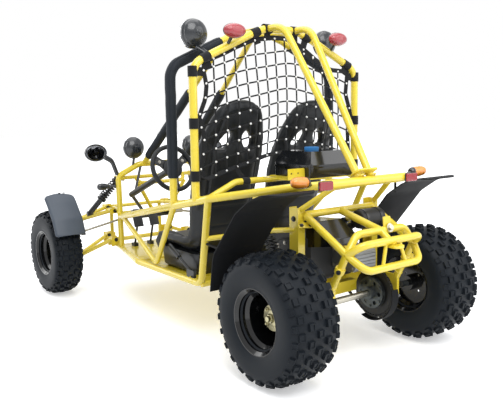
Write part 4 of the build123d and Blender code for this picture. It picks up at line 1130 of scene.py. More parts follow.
@dataclass
class BucketSeat(Assembly):
    """A padded bucket seat with rolled bolsters and two harness openings.

    Attributes:
        spine: Middle line from the front lip to the top, as (station, height).
        seam_line: The seam's offset, its bulge and how far it draws in at the top.
        seam_run: Height where that line starts, and its length.
        pans: The pans' sections as (height, length, width).
    """

    y: float = 0.238
    pad: float = 0.042
    rim: float = 0.03
    rim_share: float = 0.85
    rim_from: float = 0.5
    swell: float = 0.009
    voxel: float = 0.008
    frames: int = 20
    pressure: float = 4.0
    smoothing: tuple[int, float] = (6, 0.5)
    grid: tuple[int, int] = (40, 130)
    spine: Profile = ((1.1, 0.37), (1.108, 0.425), (1.06, 0.453), (0.95, 0.446), (0.82, 0.43), (0.747, 0.452),
                      (0.702, 0.53), (0.668, 0.65), (0.628, 0.8), (0.596, 0.912), (0.567, 1.008), (0.545, 1.08),
                      (0.533, 1.126), (0.527, 1.153), (0.524, 1.166))
    widths: Sequence[float] = (0.15, 0.165, 0.172, 0.174, 0.172, 0.17, 0.178, 0.192, 0.203, 0.199, 0.181, 0.151, 0.125,
                               0.089, 0.03)
    rolls: Sequence[float] = (0.0, 0.012, 0.03, 0.04, 0.042, 0.04, 0.045, 0.05, 0.05, 0.045, 0.035, 0.022, 0.01, 0.003,
                              0.0)
    hole_z: float = 1.003
    hole_y: float = 0.066
    hole_slant: float = -0.41
    hole_half: Pair = (0.035, 0.052)
    hole_taper: float = 5.5
    channels: Sequence[float] = (0.56, 0.66, 0.76)
    channel: Pair = (0.003, 0.006)
    channel_from: float = 0.5
    seam: Pair = (0.006, 0.0065)
    seam_line: Point = (0.115, 0.02, 0.03)
    seam_run: Pair = (0.43, 0.74)
    pan_x: float = 0.9
    pan_corner: float = 0.04
    pans: Sequence[Point] = ((0.303, 0.34, 0.27), (0.318, 0.36, 0.3), (0.39, 0.37, 0.31), (0.412, 0.37, 0.3))

    def build(self) -> None:
        """Makes both seats from one cushion form."""
        form = self._puffed(self._shell())
        for side, name in zip(SIDES, SIDE_NAMES):
            mesh = form.copy()
            mesh.transform(Matrix.Translation((0, side * self.y, 0)))
            seat = self.shop.piece(f"{name}_bucket_seat", mesh, "seat_vinyl", replaces=(f"{name}_seat",))
        self._bases()

    @staticmethod
    def _at(share: float, table: Sequence[float]) -> float:
        """A value of a table, eased between its entries.

        Args:
            share: Share of the seat's run.
            table: Values at even shares.

        Returns:
            The value.
        """
        spot = share * (len(table) - 1)
        low = min(int(spot), len(table) - 2)
        ease = spot - low
        ease = ease * ease * (3 - 2 * ease) * 0.5 + ease * 0.5
        return table[low] + (table[low + 1] - table[low]) * ease

    def _middle(self, u: float, v: float) -> Vector:
        """A point of the seat's middle surface.

        Args:
            u: Share across, from -1 to 1.
            v: Share along, from the front lip to the top.

        Returns:
            The point, for a seat in the middle of the vehicle.
        """
        xs, zs = zip(*self.spine)
        here = Vector((self._at(v, xs), 0, self._at(v, zs)))
        near = Vector((self._at(min(1.0, v + 0.02), xs), 0, self._at(min(1.0, v + 0.02), zs)))
        past = Vector((self._at(max(0.0, v - 0.02), xs), 0, self._at(max(0.0, v - 0.02), zs)))
        along = (near - past).normalized()
        towards = Vector((along.z, 0, -along.x))
        edge = max(0.0, (abs(u) - 0.5) / 0.5)
        roll = self._at(v, self.rolls) * edge * edge * (3 - 2 * edge)
        point = here + towards * roll + Vector((0, u * self._at(v, self.widths), 0))
        return station(point.x, point.y, point.z)

    def _open(self, y: float, z: float) -> bool:
        """Whether a point of the back lies in one of the two harness openings.

        Args:
            y: The point's offset.
            z: Its height.

        Returns:
            True inside an opening.
        """
        rise = z - self.hole_z
        wide = self.hole_half[0] * (1 - self.hole_taper * rise)
        return ((abs(y) - self.hole_y - self.hole_slant * rise) / wide) ** 2 + (rise / self.hole_half[1]) ** 2 < 1

    def _shell(self) -> Mesh:
        """The seat's middle surface with its openings and rolled rim, thickened and remeshed.

        Returns:
            The closed form, for a seat in the middle of the vehicle.
        """
        across, along = self.grid
        work = bmesh.new()
        rows = [[work.verts.new(self._middle(2 * i / across - 1, j / along)) for i in range(across + 1)]
                for j in range(along + 1)]
        for j in range(along):
            for i in range(across):
                corners = (rows[j][i], rows[j][i + 1], rows[j + 1][i + 1], rows[j + 1][i])
                middle = sum((corner.co for corner in corners), Vector()) / 4
                if not self._open(middle.y, middle.z):
                    work.faces.new(corners)
        bmesh.ops.recalc_face_normals(work, faces=work.faces)
        sheet = bpy.data.meshes.new("seat_sheet")
        work.to_mesh(sheet)
        work.free()
        solid = self._modified(sheet, "SOLIDIFY", {"thickness": self.pad, "offset": 0.0})
        shares = [self.rim_from + (1 - self.rim_from) * step / 40 for step in range(41)]
        arch = [self._middle(self.rim_share, v) for v in shares]
        arch += [self._middle(-self.rim_share, v) for v in reversed(shares)]
        rim = Sketch().tube(spaced(arch, 0.015), circle(self.rim, 16), up=AHEAD).mesh("seat_rim")
        voxels = {"mode": "VOXEL", "voxel_size": self.voxel}
        return self._modified(joined("seat_form", (solid, rim)), "REMESH", voxels)

    @staticmethod
    def _modified(mesh: Mesh, kind: str, values: dict) -> Mesh:
        """Runs one modifier on a mesh.

        Args:
            mesh: The mesh to start from.
            kind: The modifier's type.
            values: Its settings by name.

        Returns:
            The modified mesh.
        """
        holder = added("holder", mesh)
        modifier = holder.modifiers.new("shape", kind)
        for name, value in values.items():
            setattr(modifier, name, value)
        result = evaluated(holder)
        bpy.data.objects.remove(holder)
        return result

    def _puffed(self, solid: Mesh) -> Mesh:
        """Swells the form as a stuffed cover, then presses its sewn lines.

        Args:
            solid: The remeshed form.

        Returns:
            The finished cushion mesh.
        """
        start = [vertex.co.copy() for vertex in solid.vertices]
        holder = added("seat_puff", solid)
        cloth = holder.modifiers.new("cloth", "CLOTH")
        cloth.settings.use_pressure = True
        cloth.settings.uniform_pressure_force = self.pressure
        cloth.settings.effector_weights.gravity = 0.0
        scene = bpy.context.scene
        for frame in range(1, self.frames + 1):
            scene.frame_set(frame)
        blown = evaluated(holder)
        scene.frame_set(1)
        holder.modifiers.clear()
        places = []
        for grown, origin in zip(blown.vertices, start):
            move = grown.co - origin
            places.extend(origin + move * min(1.0, self.swell / max(move.length, 1e-9)))
        solid.vertices.foreach_set("co", places)
        smooth = holder.modifiers.new("smooth", "SMOOTH")
        smooth.iterations, smooth.factor = self.smoothing
        finer = holder.modifiers.new("finer", "SUBSURF")
        finer.levels = finer.render_levels = 1
        form = evaluated(holder)
        bpy.data.objects.remove(holder)
        self._sew(form)
        for face in form.polygons:
            face.use_smooth = True
        return form

    def _sew(self, form: Mesh) -> None:
        """Presses the seam beside each bolster and the channels of the middle panel.

        Args:
            form: The cushion's mesh.
        """
        offset, bulge, draw = self.seam_line
        start, length = self.seam_run
        deep, wide = self.channel
        places = []
        for vertex in form.vertices:
            z, y = vertex.co.z, abs(vertex.co.y)
            share = min(1.0, max(0.0, (z - start) / length))
            seam = offset + bulge * math.sin(share * math.pi) - draw * max(0.0, share - 0.75) / 0.25
            depth = self.seam[0] * math.exp(-((y - seam) / self.seam[1]) ** 2)
            if z > self.channel_from and y < seam:
                depth += sum(deep * math.exp(-((z - level) / wide) ** 2) for level in self.channels)
            places.extend(vertex.co - vertex.normal * depth)
        form.vertices.foreach_set("co", places)

    def _bases(self) -> None:
        """The black moulded pans under both seats."""
        shape = Sketch()
        for side in SIDES:
            rings = []
            for z, length, width in self.pans:
                place = Matrix.Translation(station(self.pan_x, side * self.y, z))
                rings.append([place @ Vector((x, y, 0)) for x, y in rounded_box(length, width, self.pan_corner)])
            shape.loft(rings)
        self.shop.piece("seat_pans", shape, "black_steel", slot="seat_vinyl")


@dataclass
class SafetyNet(Assembly):
    """The knotted net behind the seats with its webbing border and straps.

    Attributes:
        outline: The border's corners as (offset, height), from the lower left over the top to the lower right.
        arch: How far the rows drop towards the border, from which offset, and the power of that drop.
        slack: How far the loose net drifts across, sags and bellies.
        press: Where a seat's top presses the net back, as (offset, height, width, reach upwards).
        push: How far it presses it.
        hoop_straps: Straps on the hoop as (offset, height, lean in degrees).
    """

    x: float = 0.5
    pitch: float = 0.0628
    column_pitch: float = 0.0615
    column_start: float = -0.0225
    columns: tuple[int, int] = (-6, 7)
    rows: Pair = (0.988, 1.427)
    strand: Pair = (0.0037, 0.0014)
    border: Pair = (0.0115, 0.0016)
    knot: float = 0.0056
    hoop_radius: float = 0.019
    outline: Profile = (
        (0.5, 0.838), (0.476, 0.92), (0.468, 1.02), (0.482, 1.06), (0.494, 1.11), (0.458, 1.19), (0.45, 1.25),
        (0.466, 1.33), (0.452, 1.368), (0.428, 1.37), (0.34, 1.402), (0.282, 1.427), (0.168, 1.47), (0.048, 1.492),
        (-0.034, 1.488), (-0.13, 1.45), (-0.23, 1.392), (-0.33, 1.345), (-0.42, 1.34), (-0.47, 1.365),
        (-0.462, 1.3), (-0.452, 1.22), (-0.494, 1.11), (-0.468, 1.02), (-0.476, 0.92), (-0.5, 0.838))
    arch: Point = (0.105, -0.03, 1.55)
    arch_half: float = 0.48
    slack: Point = (0.005, 0.004, 0.007)
    slack_half: float = 0.46
    belly_run: Pair = (0.84, 0.65)
    press: tuple[float, float, float, float] = (0.22, 1.1, 0.15, 0.17)
    push: float = 0.024
    hoop_straps: Sequence[Point] = ((0.523, 0.838, 90), (0.523, 1.078, 90), (0.523, 1.312, 90), (0.455, 1.376, 24),
                                    (0.165, 1.504, 20), (0.088, 1.528, 0))
    hoop_wrap: float = 0.024
    hoop_tail: Point = (0.055, 0.04, 0.003)
    bar_strap: Point = (0.41, 0.305, 0.806)
    bar_radius: float = 0.015
    bar_wrap: float = 0.02
    bar_tail: Pair = (0.03, 0.003)
    webbing: Pair = (0.0006, 0.0034)

    def build(self) -> None:
        """Makes the border, strands, knots and straps."""
        net = Sketch()
        top = [self._hang(y, z) for y, z in self.outline]
        foot = [self._hang(y, self._foot(y)) for y in (0.5 - step * 0.05 for step in range(1, 20))]
        edge = spaced(top + foot[::-1] + [top[0]], 0.025)[:-1]
        net.tube(edge, rounded_box(2 * self.border[0], 2 * self.border[1], 0.001, 1), loop=True, up=AHEAD)
        first, last = self.columns
        across = [self.column_start + step * self.column_pitch for step in range(first, last + 1)]
        count = round((self.rows[1] - self.rows[0]) / self.pitch)
        levels = [self.rows[0] + step * self.pitch for step in range(count + 1)]
        for y in across:
            low, high = self._foot(y), self._top(y)
            self._strand(net, [self._hang(y, low + (high - low) * step / 24) for step in range(25)])
        for level in levels:
            left, right = self._reach(level, 1), self._reach(level, -1)
            run = [left + (right - left) * step / 36 for step in range(37)]
            self._strand(net, [self._hang(y, self._level(y, level)) for y in run])
        self._add_straps(net)
        self.shop.piece("knotted_net", net, "net_webbing", replaces=("safety_net",))
        k = self.knot
        knot = Sketch().lathe(((0.0, -k * 0.8), (k * 0.8, -k * 0.5), (k, 0.0), (k * 0.8, k * 0.5), (0.0, k * 0.8)),
                              Matrix(), 10)
        spots = [self._hang(y, self._level(y, level)) for y in across for level in levels
                 if self._reach(level, -1) <= y <= self._reach(level, 1)]
        spots += [self._hang(y, self._top(y) - 0.004) for y in across]
        spots += [self._hang(y, self._foot(y)) for y in across]
        spots += [self._hang(self._reach(level, side), self._level(self._reach(level, side), level))
                  for level in levels for side in SIDES]
        places = [aimed(spot - Vector((0.0015, 0, 0)), AHEAD) for spot in spots]
        self.shop.scatter("net_knots", knot, places, "knot_white", slot="net_webbing")

    def _level(self, y: float, level: float) -> float:
        """Height of a row at an offset, from its height at its highest point."""
        drop, middle, power = self.arch
        return level - drop * (abs(y - middle) / self.arch_half) ** power

    def _foot(self, y: float) -> float:
        """Height of the net's lower edge at an offset."""
        return self._level(y, self.rows[0] - self.pitch)

    def _hang(self, y: float, z: float) -> Vector:
        """Where a net point hangs, with the slack of a loose net over the seats' tops.

        Args:
            y: Its offset in a flat net.
            z: Its height in a flat net.

        Returns:
            The point.
        """
        inside = max(0.0, 1 - (abs(y) / self.slack_half) ** 2)
        drift = self.slack[0] * math.sin(9 * z + 4 * y) * inside
        sag = self.slack[1] * math.sin(17 * y + 1.2 + 6 * z) * inside
        start, length = self.belly_run
        belly = -self.slack[2] * inside * math.sin(math.pi * min(1.0, max(0.0, (z - start) / length)))
        seat_y, seat_z, wide, high = self.press
        belly -= self.push * math.exp(-((abs(y) - seat_y) / wide) ** 2 - ((z - seat_z) / high) ** 2)
        return station(self.x + belly, y + drift, z + sag)

    def _top(self, y: float) -> float:
        """Height of the border over an offset."""
        heights = [z0 + (z1 - z0) * (y0 - y) / (y0 - y1)
                   for (y0, z0), (y1, z1) in zip(self.outline, self.outline[1:]) if y1 <= y <= y0 and y0 > y1]
        return max(heights)

    def _reach(self, level: float, side: int) -> float:
        """Offset where a row meets the border on one side.

        Args:
            level: The row's height at its highest point.
            side: One for the left and minus one for the right.

        Returns:
            The offset.
        """
        y = 0.0
        while abs(y) < 0.52 and self._inside(y, self._level(y, level)):
            y += side * 0.002
        return y

    def _inside(self, y: float, z: float) -> bool:
        """Whether a point lies inside the border.

        Args:
            y: The point's offset.
            z: Its height.

        Returns:
            True inside.
        """
        inside = False
        loop = list(self.outline) + [self.outline[0]]
        for (y0, z0), (y1, z1) in zip(loop, loop[1:]):
            if (z0 > z) != (z1 > z) and y < y0 + (y1 - y0) * (z - z0) / (z1 - z0):
                inside = not inside
        return inside

    def _strand(self, net: Sketch, path: Sequence[Vector]) -> None:
        """Adds one flat strand."""
        wide, thick = self.strand
        net.tube(path, ((wide, thick), (-wide, thick), (-wide, -thick), (wide, -thick)), up=AHEAD)

    def _add_straps(self, net: Sketch) -> None:
        """Adds the straps that wrap the hoop and the seat bar and reach to the border.

        Args:
            net: The sketch they go to.
        """
        reach, wide, thick = self.hoop_tail
        for y, z, lean in self.hoop_straps:
            for side in SIDES:
                turn = math.radians(lean)
                spot = station(self.x, side * y, z)
                along = Vector((0, -side * math.cos(turn), math.sin(turn)))
                inward = Vector((0, -side * math.sin(turn), -math.cos(turn)))
                self._wrap(net, spot, along, self.hoop_radius, self.hoop_wrap)
                start, end = spot + inward * (self.hoop_radius + 0.001), spot + inward * reach
                net.tube([start, start.lerp(end, 0.5), end], rounded_box(wide, thick, 0.001, 1), up=AHEAD)
        wide, thick = self.bar_tail
        for side in SIDES:
            y = self.bar_strap[1]
            spot = sided(self.bar_strap, side)
            self._wrap(net, spot, ACROSS, self.bar_radius, self.bar_wrap)
            tail = self._hang(side * (y - 0.01), self._foot(y))
            start = spot + Vector((self.bar_radius * 0.7, 0, self.bar_radius * 0.7))
            net.tube([start, start.lerp(tail, 0.5), tail], rounded_box(wide, thick, 0.001, 1), up=ACROSS)

    def _wrap(self, net: Sketch, spot: Vector, along: Vector, radius: float, half: float) -> None:
        """Adds a band of webbing round a tube.

        Args:
            net: The sketch it goes to.
            spot: Middle of the band.
            along: The tube's direction.
            radius: The tube's radius.
            half: Half of the band's width.
        """
        low, high = radius + self.webbing[0], radius + self.webbing[1]
        ring = ((low, -half), (high, -half), (high, half), (low, half))
        net.lathe(ring, aimed(spot, along, Vector((1, 0, 0.01))), 24, loop=True)


@dataclass
class SteeringPad(Assembly):
    """The steering wheel's plate spokes, their screws and the centre pad."""

    centre: Point = (1.165, 0.25, 0.823)
    tilt: float = 20.5
    spokes: Sequence[float] = (30.0, 150.0, 270.0)
    plate: Profile = ((0.03, -0.036), (0.078, -0.0215), (0.12, -0.0265), (0.12, 0.0265), (0.078, 0.0215),
                      (0.03, 0.036))
    plate_low: float = -0.0118
    plate_high: float = -0.0042
    plate_edge: float = 0.0014
    screw_at: float = 0.086
    screw: Pair = (0.0065, 0.004)
    pad: Profile = ((0.0, -0.0045), (0.053, -0.0045), (0.058, -0.001), (0.058, 0.004), (0.051, 0.0085),
                    (0.03, 0.0105), (0.0, 0.011))

    def build(self) -> None:
        """Makes plates, screws and pad."""
        lean = math.radians(self.tilt)
        place = aimed(station(*self.centre), Vector((-math.cos(lean), 0, math.sin(lean))))
        plates = Sketch()
        screws = []
        for angle in self.spokes:
            turned = place @ Matrix.Rotation(math.radians(angle), 4, "Z")
            plates.prism(self.plate, self.plate_low, self.plate_high, turned, self.plate_edge)
            screws.append(turned @ Matrix.Translation((self.screw_at, 0, self.plate_high)))
        self.shop.piece("steering_spoke_plates", plates, "black_steel", "steering_set")
        self.shop.piece("steering_pad", Sketch().lathe(self.pad, place, 40), "grip_rubber", "steering_set")
        self.shop.scatter("steering_screws", hex_screw(*self.screw), screws, "bare_steel", "steering_set")


@dataclass
class Running(Assembly):
    """Coil springs round the dampers, and the drive chain.

    Attributes:
        shocks: The left dampers as (upper end, lower end, turns of the coil).
        coil_from: Where a coil starts, as a share of its damper.
        sprockets: Both pitch circles as (station, height, radius).
        inner_share: Width of every other link, which sits between the plates of the next.
    """

    shocks: Sequence[tuple[Point, Point, float]] = (((1.812, 0.278, 0.726), (1.952, 0.425, 0.496), 7.5),
                                                    ((0.312, 0.262, 0.57), (0.2, 0.226, 0.318), 7.0))
    coil_radius: float = 0.0262
    coil_from: float = 0.42
    coil_top: float = 0.034
    wire: float = 0.0044
    chain_y: float = -0.132
    sprockets: Sequence[Point] = ((0.0, REAR_AXLE_Z, 0.1155), (0.285, 0.395, 0.0435))
    link_pitch: float = 0.0157
    link: Pair = (0.0098, 0.0056)
    plates: Pair = (-0.0066, 0.0048)
    plate_wall: float = 0.0018
    roller: Pair = (0.0042, 0.0048)
    inner_share: float = 0.76

    def build(self) -> None:
        """Makes springs and chain."""
        coils = []
        for top, foot, turns in self.shocks:
            for side in SIDES:
                high, low = sided(top, side), sided(foot, side)
                length = (high - low).length
                along = (high - low).normalized()
                start = low + along * (length * self.coil_from + self.wire)
                height = length - self.coil_top - length * self.coil_from - 2 * self.wire
                coils.append(self.shop.coil(turns, self.coil_radius, height, self.wire, aimed(start, along)))
        self.shop.piece("coil_springs", joined("coil_springs", coils), "black_steel", replaces=("springs",))
        self._chain()

    def _chain(self) -> None:
        """Makes the roller chain round both sprockets."""
        (x0, z0, r0), (x1, z1, r1) = self.sprockets
        tilt = math.atan2(z1 - z0, x1 - x0)
        spread = math.asin((r0 - r1) / math.hypot(x1 - x0, z1 - z0))
        lower, upper = tilt - math.pi / 2 + spread, tilt + math.pi / 2 - spread
        route = []
        for (x, z, r), first, last in ((self.sprockets[1], lower, upper),
                                       (self.sprockets[0], upper, lower + 2 * math.pi)):
            for step in range(41):
                turn = first + (last - first) * step / 40
                route.append(station(x + r * math.cos(turn), self.chain_y, z + r * math.sin(turn)))
        even = spaced(route + [route[0]], self.link_pitch)[:-1]
        long, high = self.link
        outline = [(long * math.copysign(abs(x) ** 0.7, x), high * y * (1 - 0.28 * (1 - abs(x)) ** 2))
                   for x, y in circle(1.0, 14)]
        plate = Sketch()
        for low in self.plates:
            plate.prism(outline, low, low + self.plate_wall, Matrix())
        radius, half = self.roller
        plate.lathe(((0.0, -half), (radius, -half), (radius, half), (0.0, half)), Matrix(), 8)
        places = []
        for index, spot in enumerate(even):
            ahead = even[(index + 1) % len(even)]
            along = (ahead - spot).normalized()
            turn = Matrix((along, ACROSS.cross(along), ACROSS)).transposed().to_4x4()
            wide = 1.0 if index % 2 else self.inner_share
            places.append(Matrix.Translation(spot.lerp(ahead, 0.5)) @ turn @ Matrix.Diagonal((1, 1, wide, 1)))
        mesh = self.shop.repeats("roller_chain", plate, places, "greased_steel")
        self.shop.piece("roller_chain", mesh, "greased_steel", replaces=("chain",), slot="bare_steel")


@dataclass
class FrontFenders(Assembly):
    """The front wheels' moulded fenders, crowned across and round at the top, on their bent stays.

    Attributes:
        line: Middle line from the top to the tail, as (station, height).
        lip_from: Where the edge starts to roll down, as a share of the half width.
        corners: Radii of the top's and the tail's corners.
    """

    line: Profile = ((1.952, 0.6423), (1.912, 0.6423), (1.86, 0.5943), (1.778, 0.5037), (1.7335, 0.4077))
    middle: float = 0.6381
    half: float = 0.0955
    bend: float = 0.07
    lift: float = 0.0025
    wall: float = 0.0045
    crown: float = 0.011
    lip: float = 0.006
    lip_from: float = 0.9
    corners: Pair = (0.058, 0.016)
    stay: Sequence[Point] = ((2.0, 0.52, 0.405), (1.932, 0.53, 0.455), (1.932, 0.537, 0.596), (1.932, 0.64, 0.6335))
    stay_bend: float = 0.018
    stay_radius: float = 0.006
    screws: Sequence[Point] = ((1.932, 0.6, 0.6447), (1.932, 0.63, 0.6447))
    screw: Pair = (0.008, 0.006)
    screw_scale: float = 0.8

    def build(self) -> None:
        """Makes both fenders with their stays and screws."""
        for side, name in zip(SIDES, SIDE_NAMES):
            body = f"{name}_steering"
            sheet = Sketch().loft(self._rings(side))
            self.shop.piece(f"front_{name}_fender_sheet", sheet, "fender_plastic", body, (f"front_{name}_fender",))
            route = bent([sided(point, side) for point in self.stay], self.stay_bend)
            stay = Sketch().tube(route, circle(self.stay_radius, 12))
            self.shop.piece(f"front_{name}_fender_stay", stay, "black_steel", body, slot="fender_plastic")
            places = [Matrix.Translation(sided(spot, side)) @ Matrix.Scale(self.screw_scale, 4) for spot in self.screws]
            self.shop.scatter(f"front_{name}_fender_screws", hex_screw(*self.screw), places, "black_steel", body,
                              "fender_plastic")

    def _rings(self, side: int) -> list[list[Vector]]:
        """Closed sections across the fender, from its top edge to its lower edge.

        Args:
            side: One for the left fender and minus one for the right.

        Returns:
            One ring of points for each section.
        """
        path = spaced(bent([station(x, 0, z) for x, z in self.line], self.bend, 10), 0.007)
        run = sum((after - here).length for here, after in zip(path, path[1:]))
        rings, gone = [], 0.0
        for index, spot in enumerate(path):
            before, after = path[max(index - 1, 0)], path[min(index + 1, len(path) - 1)]
            along = (after - before).normalized()
            out = Vector((along.z, 0, -along.x))
            gone += (spot - before).length if index else 0.0
            half = self.half
            for edge, corner in zip((gone, run - gone), self.corners):
                inset = max(0.0, corner - edge)
                half -= corner - math.sqrt(max(corner * corner - inset * inset, 0.0))
            upper, lower = [], []
            for step in range(25):
                share = step / 12 - 1
                rim = max(0.0, (abs(share) - self.lip_from) / (1 - self.lip_from))
                drop = self.crown * share * share + self.lip * rim * rim
                here = spot + Vector((0, side * (self.middle + share * half), 0)) + out * (self.lift - drop)
                upper.append(here)
                lower.append(here - out * self.wall)
            rings.append(upper + lower[::-1])
        return rings


@dataclass
class Lamps(Assembly):
    """Round lamps, red and amber lamps and the mirrors."""

    radius: float = 0.069
    bowl_depth: float = 0.68
    bowl_steps: Pair = (0.97, 0.945)
    head: Point = (1.7, 0.216, 0.922)
    head_foot: Point = (1.721, 0.219, 0.795)
    spot: Point = (0.63, 0.426, 1.4985)
    spot_foot: Point = (0.5, 0.424, 1.39)
    stem: float = 0.008
    cheek: Point = (0.024, 0.05, 0.006)
    tail: Point = (0.44, 0.33, 1.496)
    tail_foot: Point = (0.5, 0.33, 1.432)
    tail_lens: Point = (0.06, 0.034, 0.032)
    tail_back: Point = (0.0606, 0.0346, 0.02)
    turn_rear: Point = (-0.05, 0.341, 0.834)
    turn_stub: Point = (-0.03, 0.29, 0.815)
    turn_front: Point = (1.796, 0.346, 0.68)
    turn_root: Point = (1.77, 0.317, 0.68)
    turn_stem: float = 0.0078
    turn_flat: float = 0.72
    capsule: Profile = ((0.0, 0.0), (0.0215, 0.0), (0.0235, 0.006), (0.0245, 0.02), (0.0242, 0.045),
                        (0.0222, 0.062), (0.017, 0.075), (0.009, 0.0825), (0.0, 0.085))
    capsule_back: Profile = ((0.0, -0.018), (0.013, -0.018), (0.019, -0.013), (0.0232, -0.003),
                             (0.0232, 0.0015), (0.0, 0.0015))
    teardrop: Profile = ((0.0, -0.004), (0.0085, -0.003), (0.012, 0.01), (0.0195, 0.034), (0.0226, 0.058),
                         (0.0195, 0.077), (0.011, 0.086), (0.0, 0.088))
    reflector: Point = (-0.0925, 0.272, 0.818)
    reflector_back: Pair = (0.078, 0.04)
    reflector_lens: Pair = (0.074, 0.036)
    reflector_ribs: int = 17
    rib_pitch: float = 0.004
    mirror: Point = (1.78, 0.44, 0.897)
    mirror_half: Pair = (0.073, 0.055)
    mirror_route: Sequence[Point] = ((1.771, 0.304, 0.752), (1.774, 0.336, 0.842))
    mirror_depth: float = 0.034
    glass_inset: float = 0.0075
    stalk: float = 0.0125

    def build(self) -> None:
        """Makes every lamp and both mirrors."""
        self._round("headlamp", self.head, self.head_foot, "headlamps")
        self._round("roof_lamp", self.spot, self.spot_foot, "roof_spot_lamps")
        self._tails()
        self._turns()
        self._mirrors()

    def _round(self, name: str, centre: Point, foot: Point, node: str) -> None:
        """Makes a pair of bowl lamps with bright ring and glass.

        Args:
            name: Name of the lamps.
            centre: Middle of the left lamp.
            foot: Where its stem stands.
            node: The node that they stand for.
        """
        r = self.radius
        middle, rim = self.bowl_steps
        bowl = []
        for degrees in range(0, 91, 6):
            turn = math.radians(degrees)
            step = middle if 36 <= degrees < 66 else rim if 66 <= degrees < 90 else 1.0
            wide = step if degrees > 66 else 1.0
            bowl.append((r * math.sin(turn) * wide, -r * self.bowl_depth * math.cos(turn) * step))
        bowl += [(r, 0.012), (r * 0.97, 0.02), (r * 0.95, 0.02), (r * 0.3, -0.02), (0.0, -0.024)]
        boss = ((0.0, -r * 0.72), (0.012, -r * 0.715), (0.015, -r * 0.69), (0.015, -r * 0.6), (0.0, -r * 0.6))
        band = ((r * 0.94, 0.012), (r * 1.0, 0.014), (r * 1.0, 0.026), (r * 0.95, 0.03), (r * 0.9, 0.027))
        dome = [(r * 0.93 * math.sin(a), 0.02 + 0.018 * math.cos(a)) for a in map(math.radians, range(0, 91, 15))]
        dome += [(r * 0.93, 0.018), (0.0, 0.014)]
        shell, ring, glass = Sketch(), Sketch(), Sketch()
        for side in SIDES:
            spot = sided(centre, side)
            place = aimed(spot, AHEAD)
            shell.lathe(bowl, place, 48).lathe(boss, place, 20)
            under = spot - Vector((0, 0, r * 0.72))
            shell.tube([under, under.lerp(sided(foot, side), 0.97)], circle(self.stem, 14))
            for cheek in SIDES:
                arm = aimed(under + Vector((0, cheek * 0.014, 0.012)), ACROSS)
                shell.prism(rounded_box(*self.cheek), -0.002, 0.002, arm, 0.0006)
            ring.lathe(band, place, 48, loop=True)
            glass.lathe(dome, place, 40)
        self.shop.piece(name + "_bowls", shell, "lamp_black", replaces=(node,))
        self.shop.piece(name + "_rings", ring, "lamp_chrome", slot="lamp_black")
        self.shop.piece(name + "_glass", glass, "lamp_glass", slot="lamp_black")

    @staticmethod
    def _dome(shape: Sketch, size: Point, place: Matrix) -> None:
        """Adds a closed oval dome.

        Args:
            shape: The sketch it goes to.
            size: Half width, half height and how far it stands along local Z.
            place: Middle of its back.
        """
        wide, high, depth = size
        rings = []
        for degrees in range(0, 91, 15):
            turn = math.radians(degrees)
            ease = math.cos(turn) ** 0.55 if degrees < 90 else 0.02
            rings.append([place @ Vector((x * wide * ease, y * high * ease, depth * math.sin(turn)))
                          for x, y in circle(1.0, 28)])
        shape.loft(rings)

    def _tails(self) -> None:
        """Makes the oval red roof lamps on dark backs."""
        lens, back = Sketch(), Sketch()
        for side in SIDES:
            spot, foot = sided(self.tail, side), sided(self.tail_foot, side)
            self._dome(lens, self.tail_lens, aimed(spot, -AHEAD))
            self._dome(back, self.tail_back, aimed(spot, AHEAD))
            back.tube([spot + Vector((0.008, 0, -0.015)), spot.lerp(foot, 0.55), foot.lerp(spot, 0.18)],
                      circle(self.stem, 12))
        self.shop.piece("roof_tail_lenses", lens, "red_lens", replaces=("roof_tail_lamps",))
        self.shop.piece("roof_tail_backs", back, "lamp_black")

    def _turns(self) -> None:
        """Makes the amber lamps: capsules that point outwards at the rear, teardrops at the front."""
        lens, back = Sketch(), Sketch()
        stem = circle(self.turn_stem, 12)
        for side in SIDES:
            spot = sided(self.turn_rear, side)
            place = aimed(spot, Vector((-0.1, side, 0.05)))
            lens.lathe(self.capsule, place, 36)
            back.lathe(self.capsule_back, place, 36)
            back.tube([spot - Vector((0, side * 0.012, 0)), sided(self.turn_stub, side)], stem)
            spot = sided(self.turn_front, side)
            flat = Matrix.Diagonal((self.turn_flat, 1, 1, 1)) @ facing(ACROSS * side)
            back.lathe(self.teardrop, Matrix.Translation(spot) @ flat, 32)
            lens.lathe([(r * 0.94, z * 0.97) for r, z in self.teardrop],
                       Matrix.Translation(spot + Vector((0.0075, 0, 0))) @ flat, 32)
            back.tube([spot + Vector((0, side * 0.008, 0)), sided(self.turn_root, side)], stem)
        self.shop.piece("turn_lenses", lens, "amber_lens", replaces=("turn_lamps",))
        self.shop.piece("turn_lamp_backs", back, "lamp_black", slot="amber_lens")
        self._reflectors()

    def _reflectors(self) -> None:
        """Makes the red reflectors at the crossbar's ends, ribbed lenses on dark backs."""
        lens, back = Sketch(), Sketch()
        ribs = []
        first = -self.rib_pitch * (self.reflector_ribs - 1) / 2
        for side in SIDES:
            place = aimed(sided(self.reflector, side), -AHEAD)
            back.prism(rounded_box(*self.reflector_back, 0.004), -0.0006, 0.004, place, 0.0008)
            lens.prism(rounded_box(*self.reflector_lens, 0.004), 0.0035, 0.0125, place, 0.0025)
            ribs += [place @ Matrix.Translation((first + self.rib_pitch * step, 0, 0.0118))
                     for step in range(self.reflector_ribs)]
        self.shop.piece("reflector_lenses", lens, "red_lens", replaces=("rear_reflectors",))
        self.shop.piece("reflector_backs", back, "lamp_black", slot="red_lens")
        rib = Sketch().prism(((-0.0016, -0.015), (0.0016, -0.015), (0.0016, 0.015), (-0.0016, 0.015)), 0.0, 0.0012,
                             Matrix(), 0.0008)
        self.shop.scatter("reflector_ribs", rib, ribs, "red_lens")

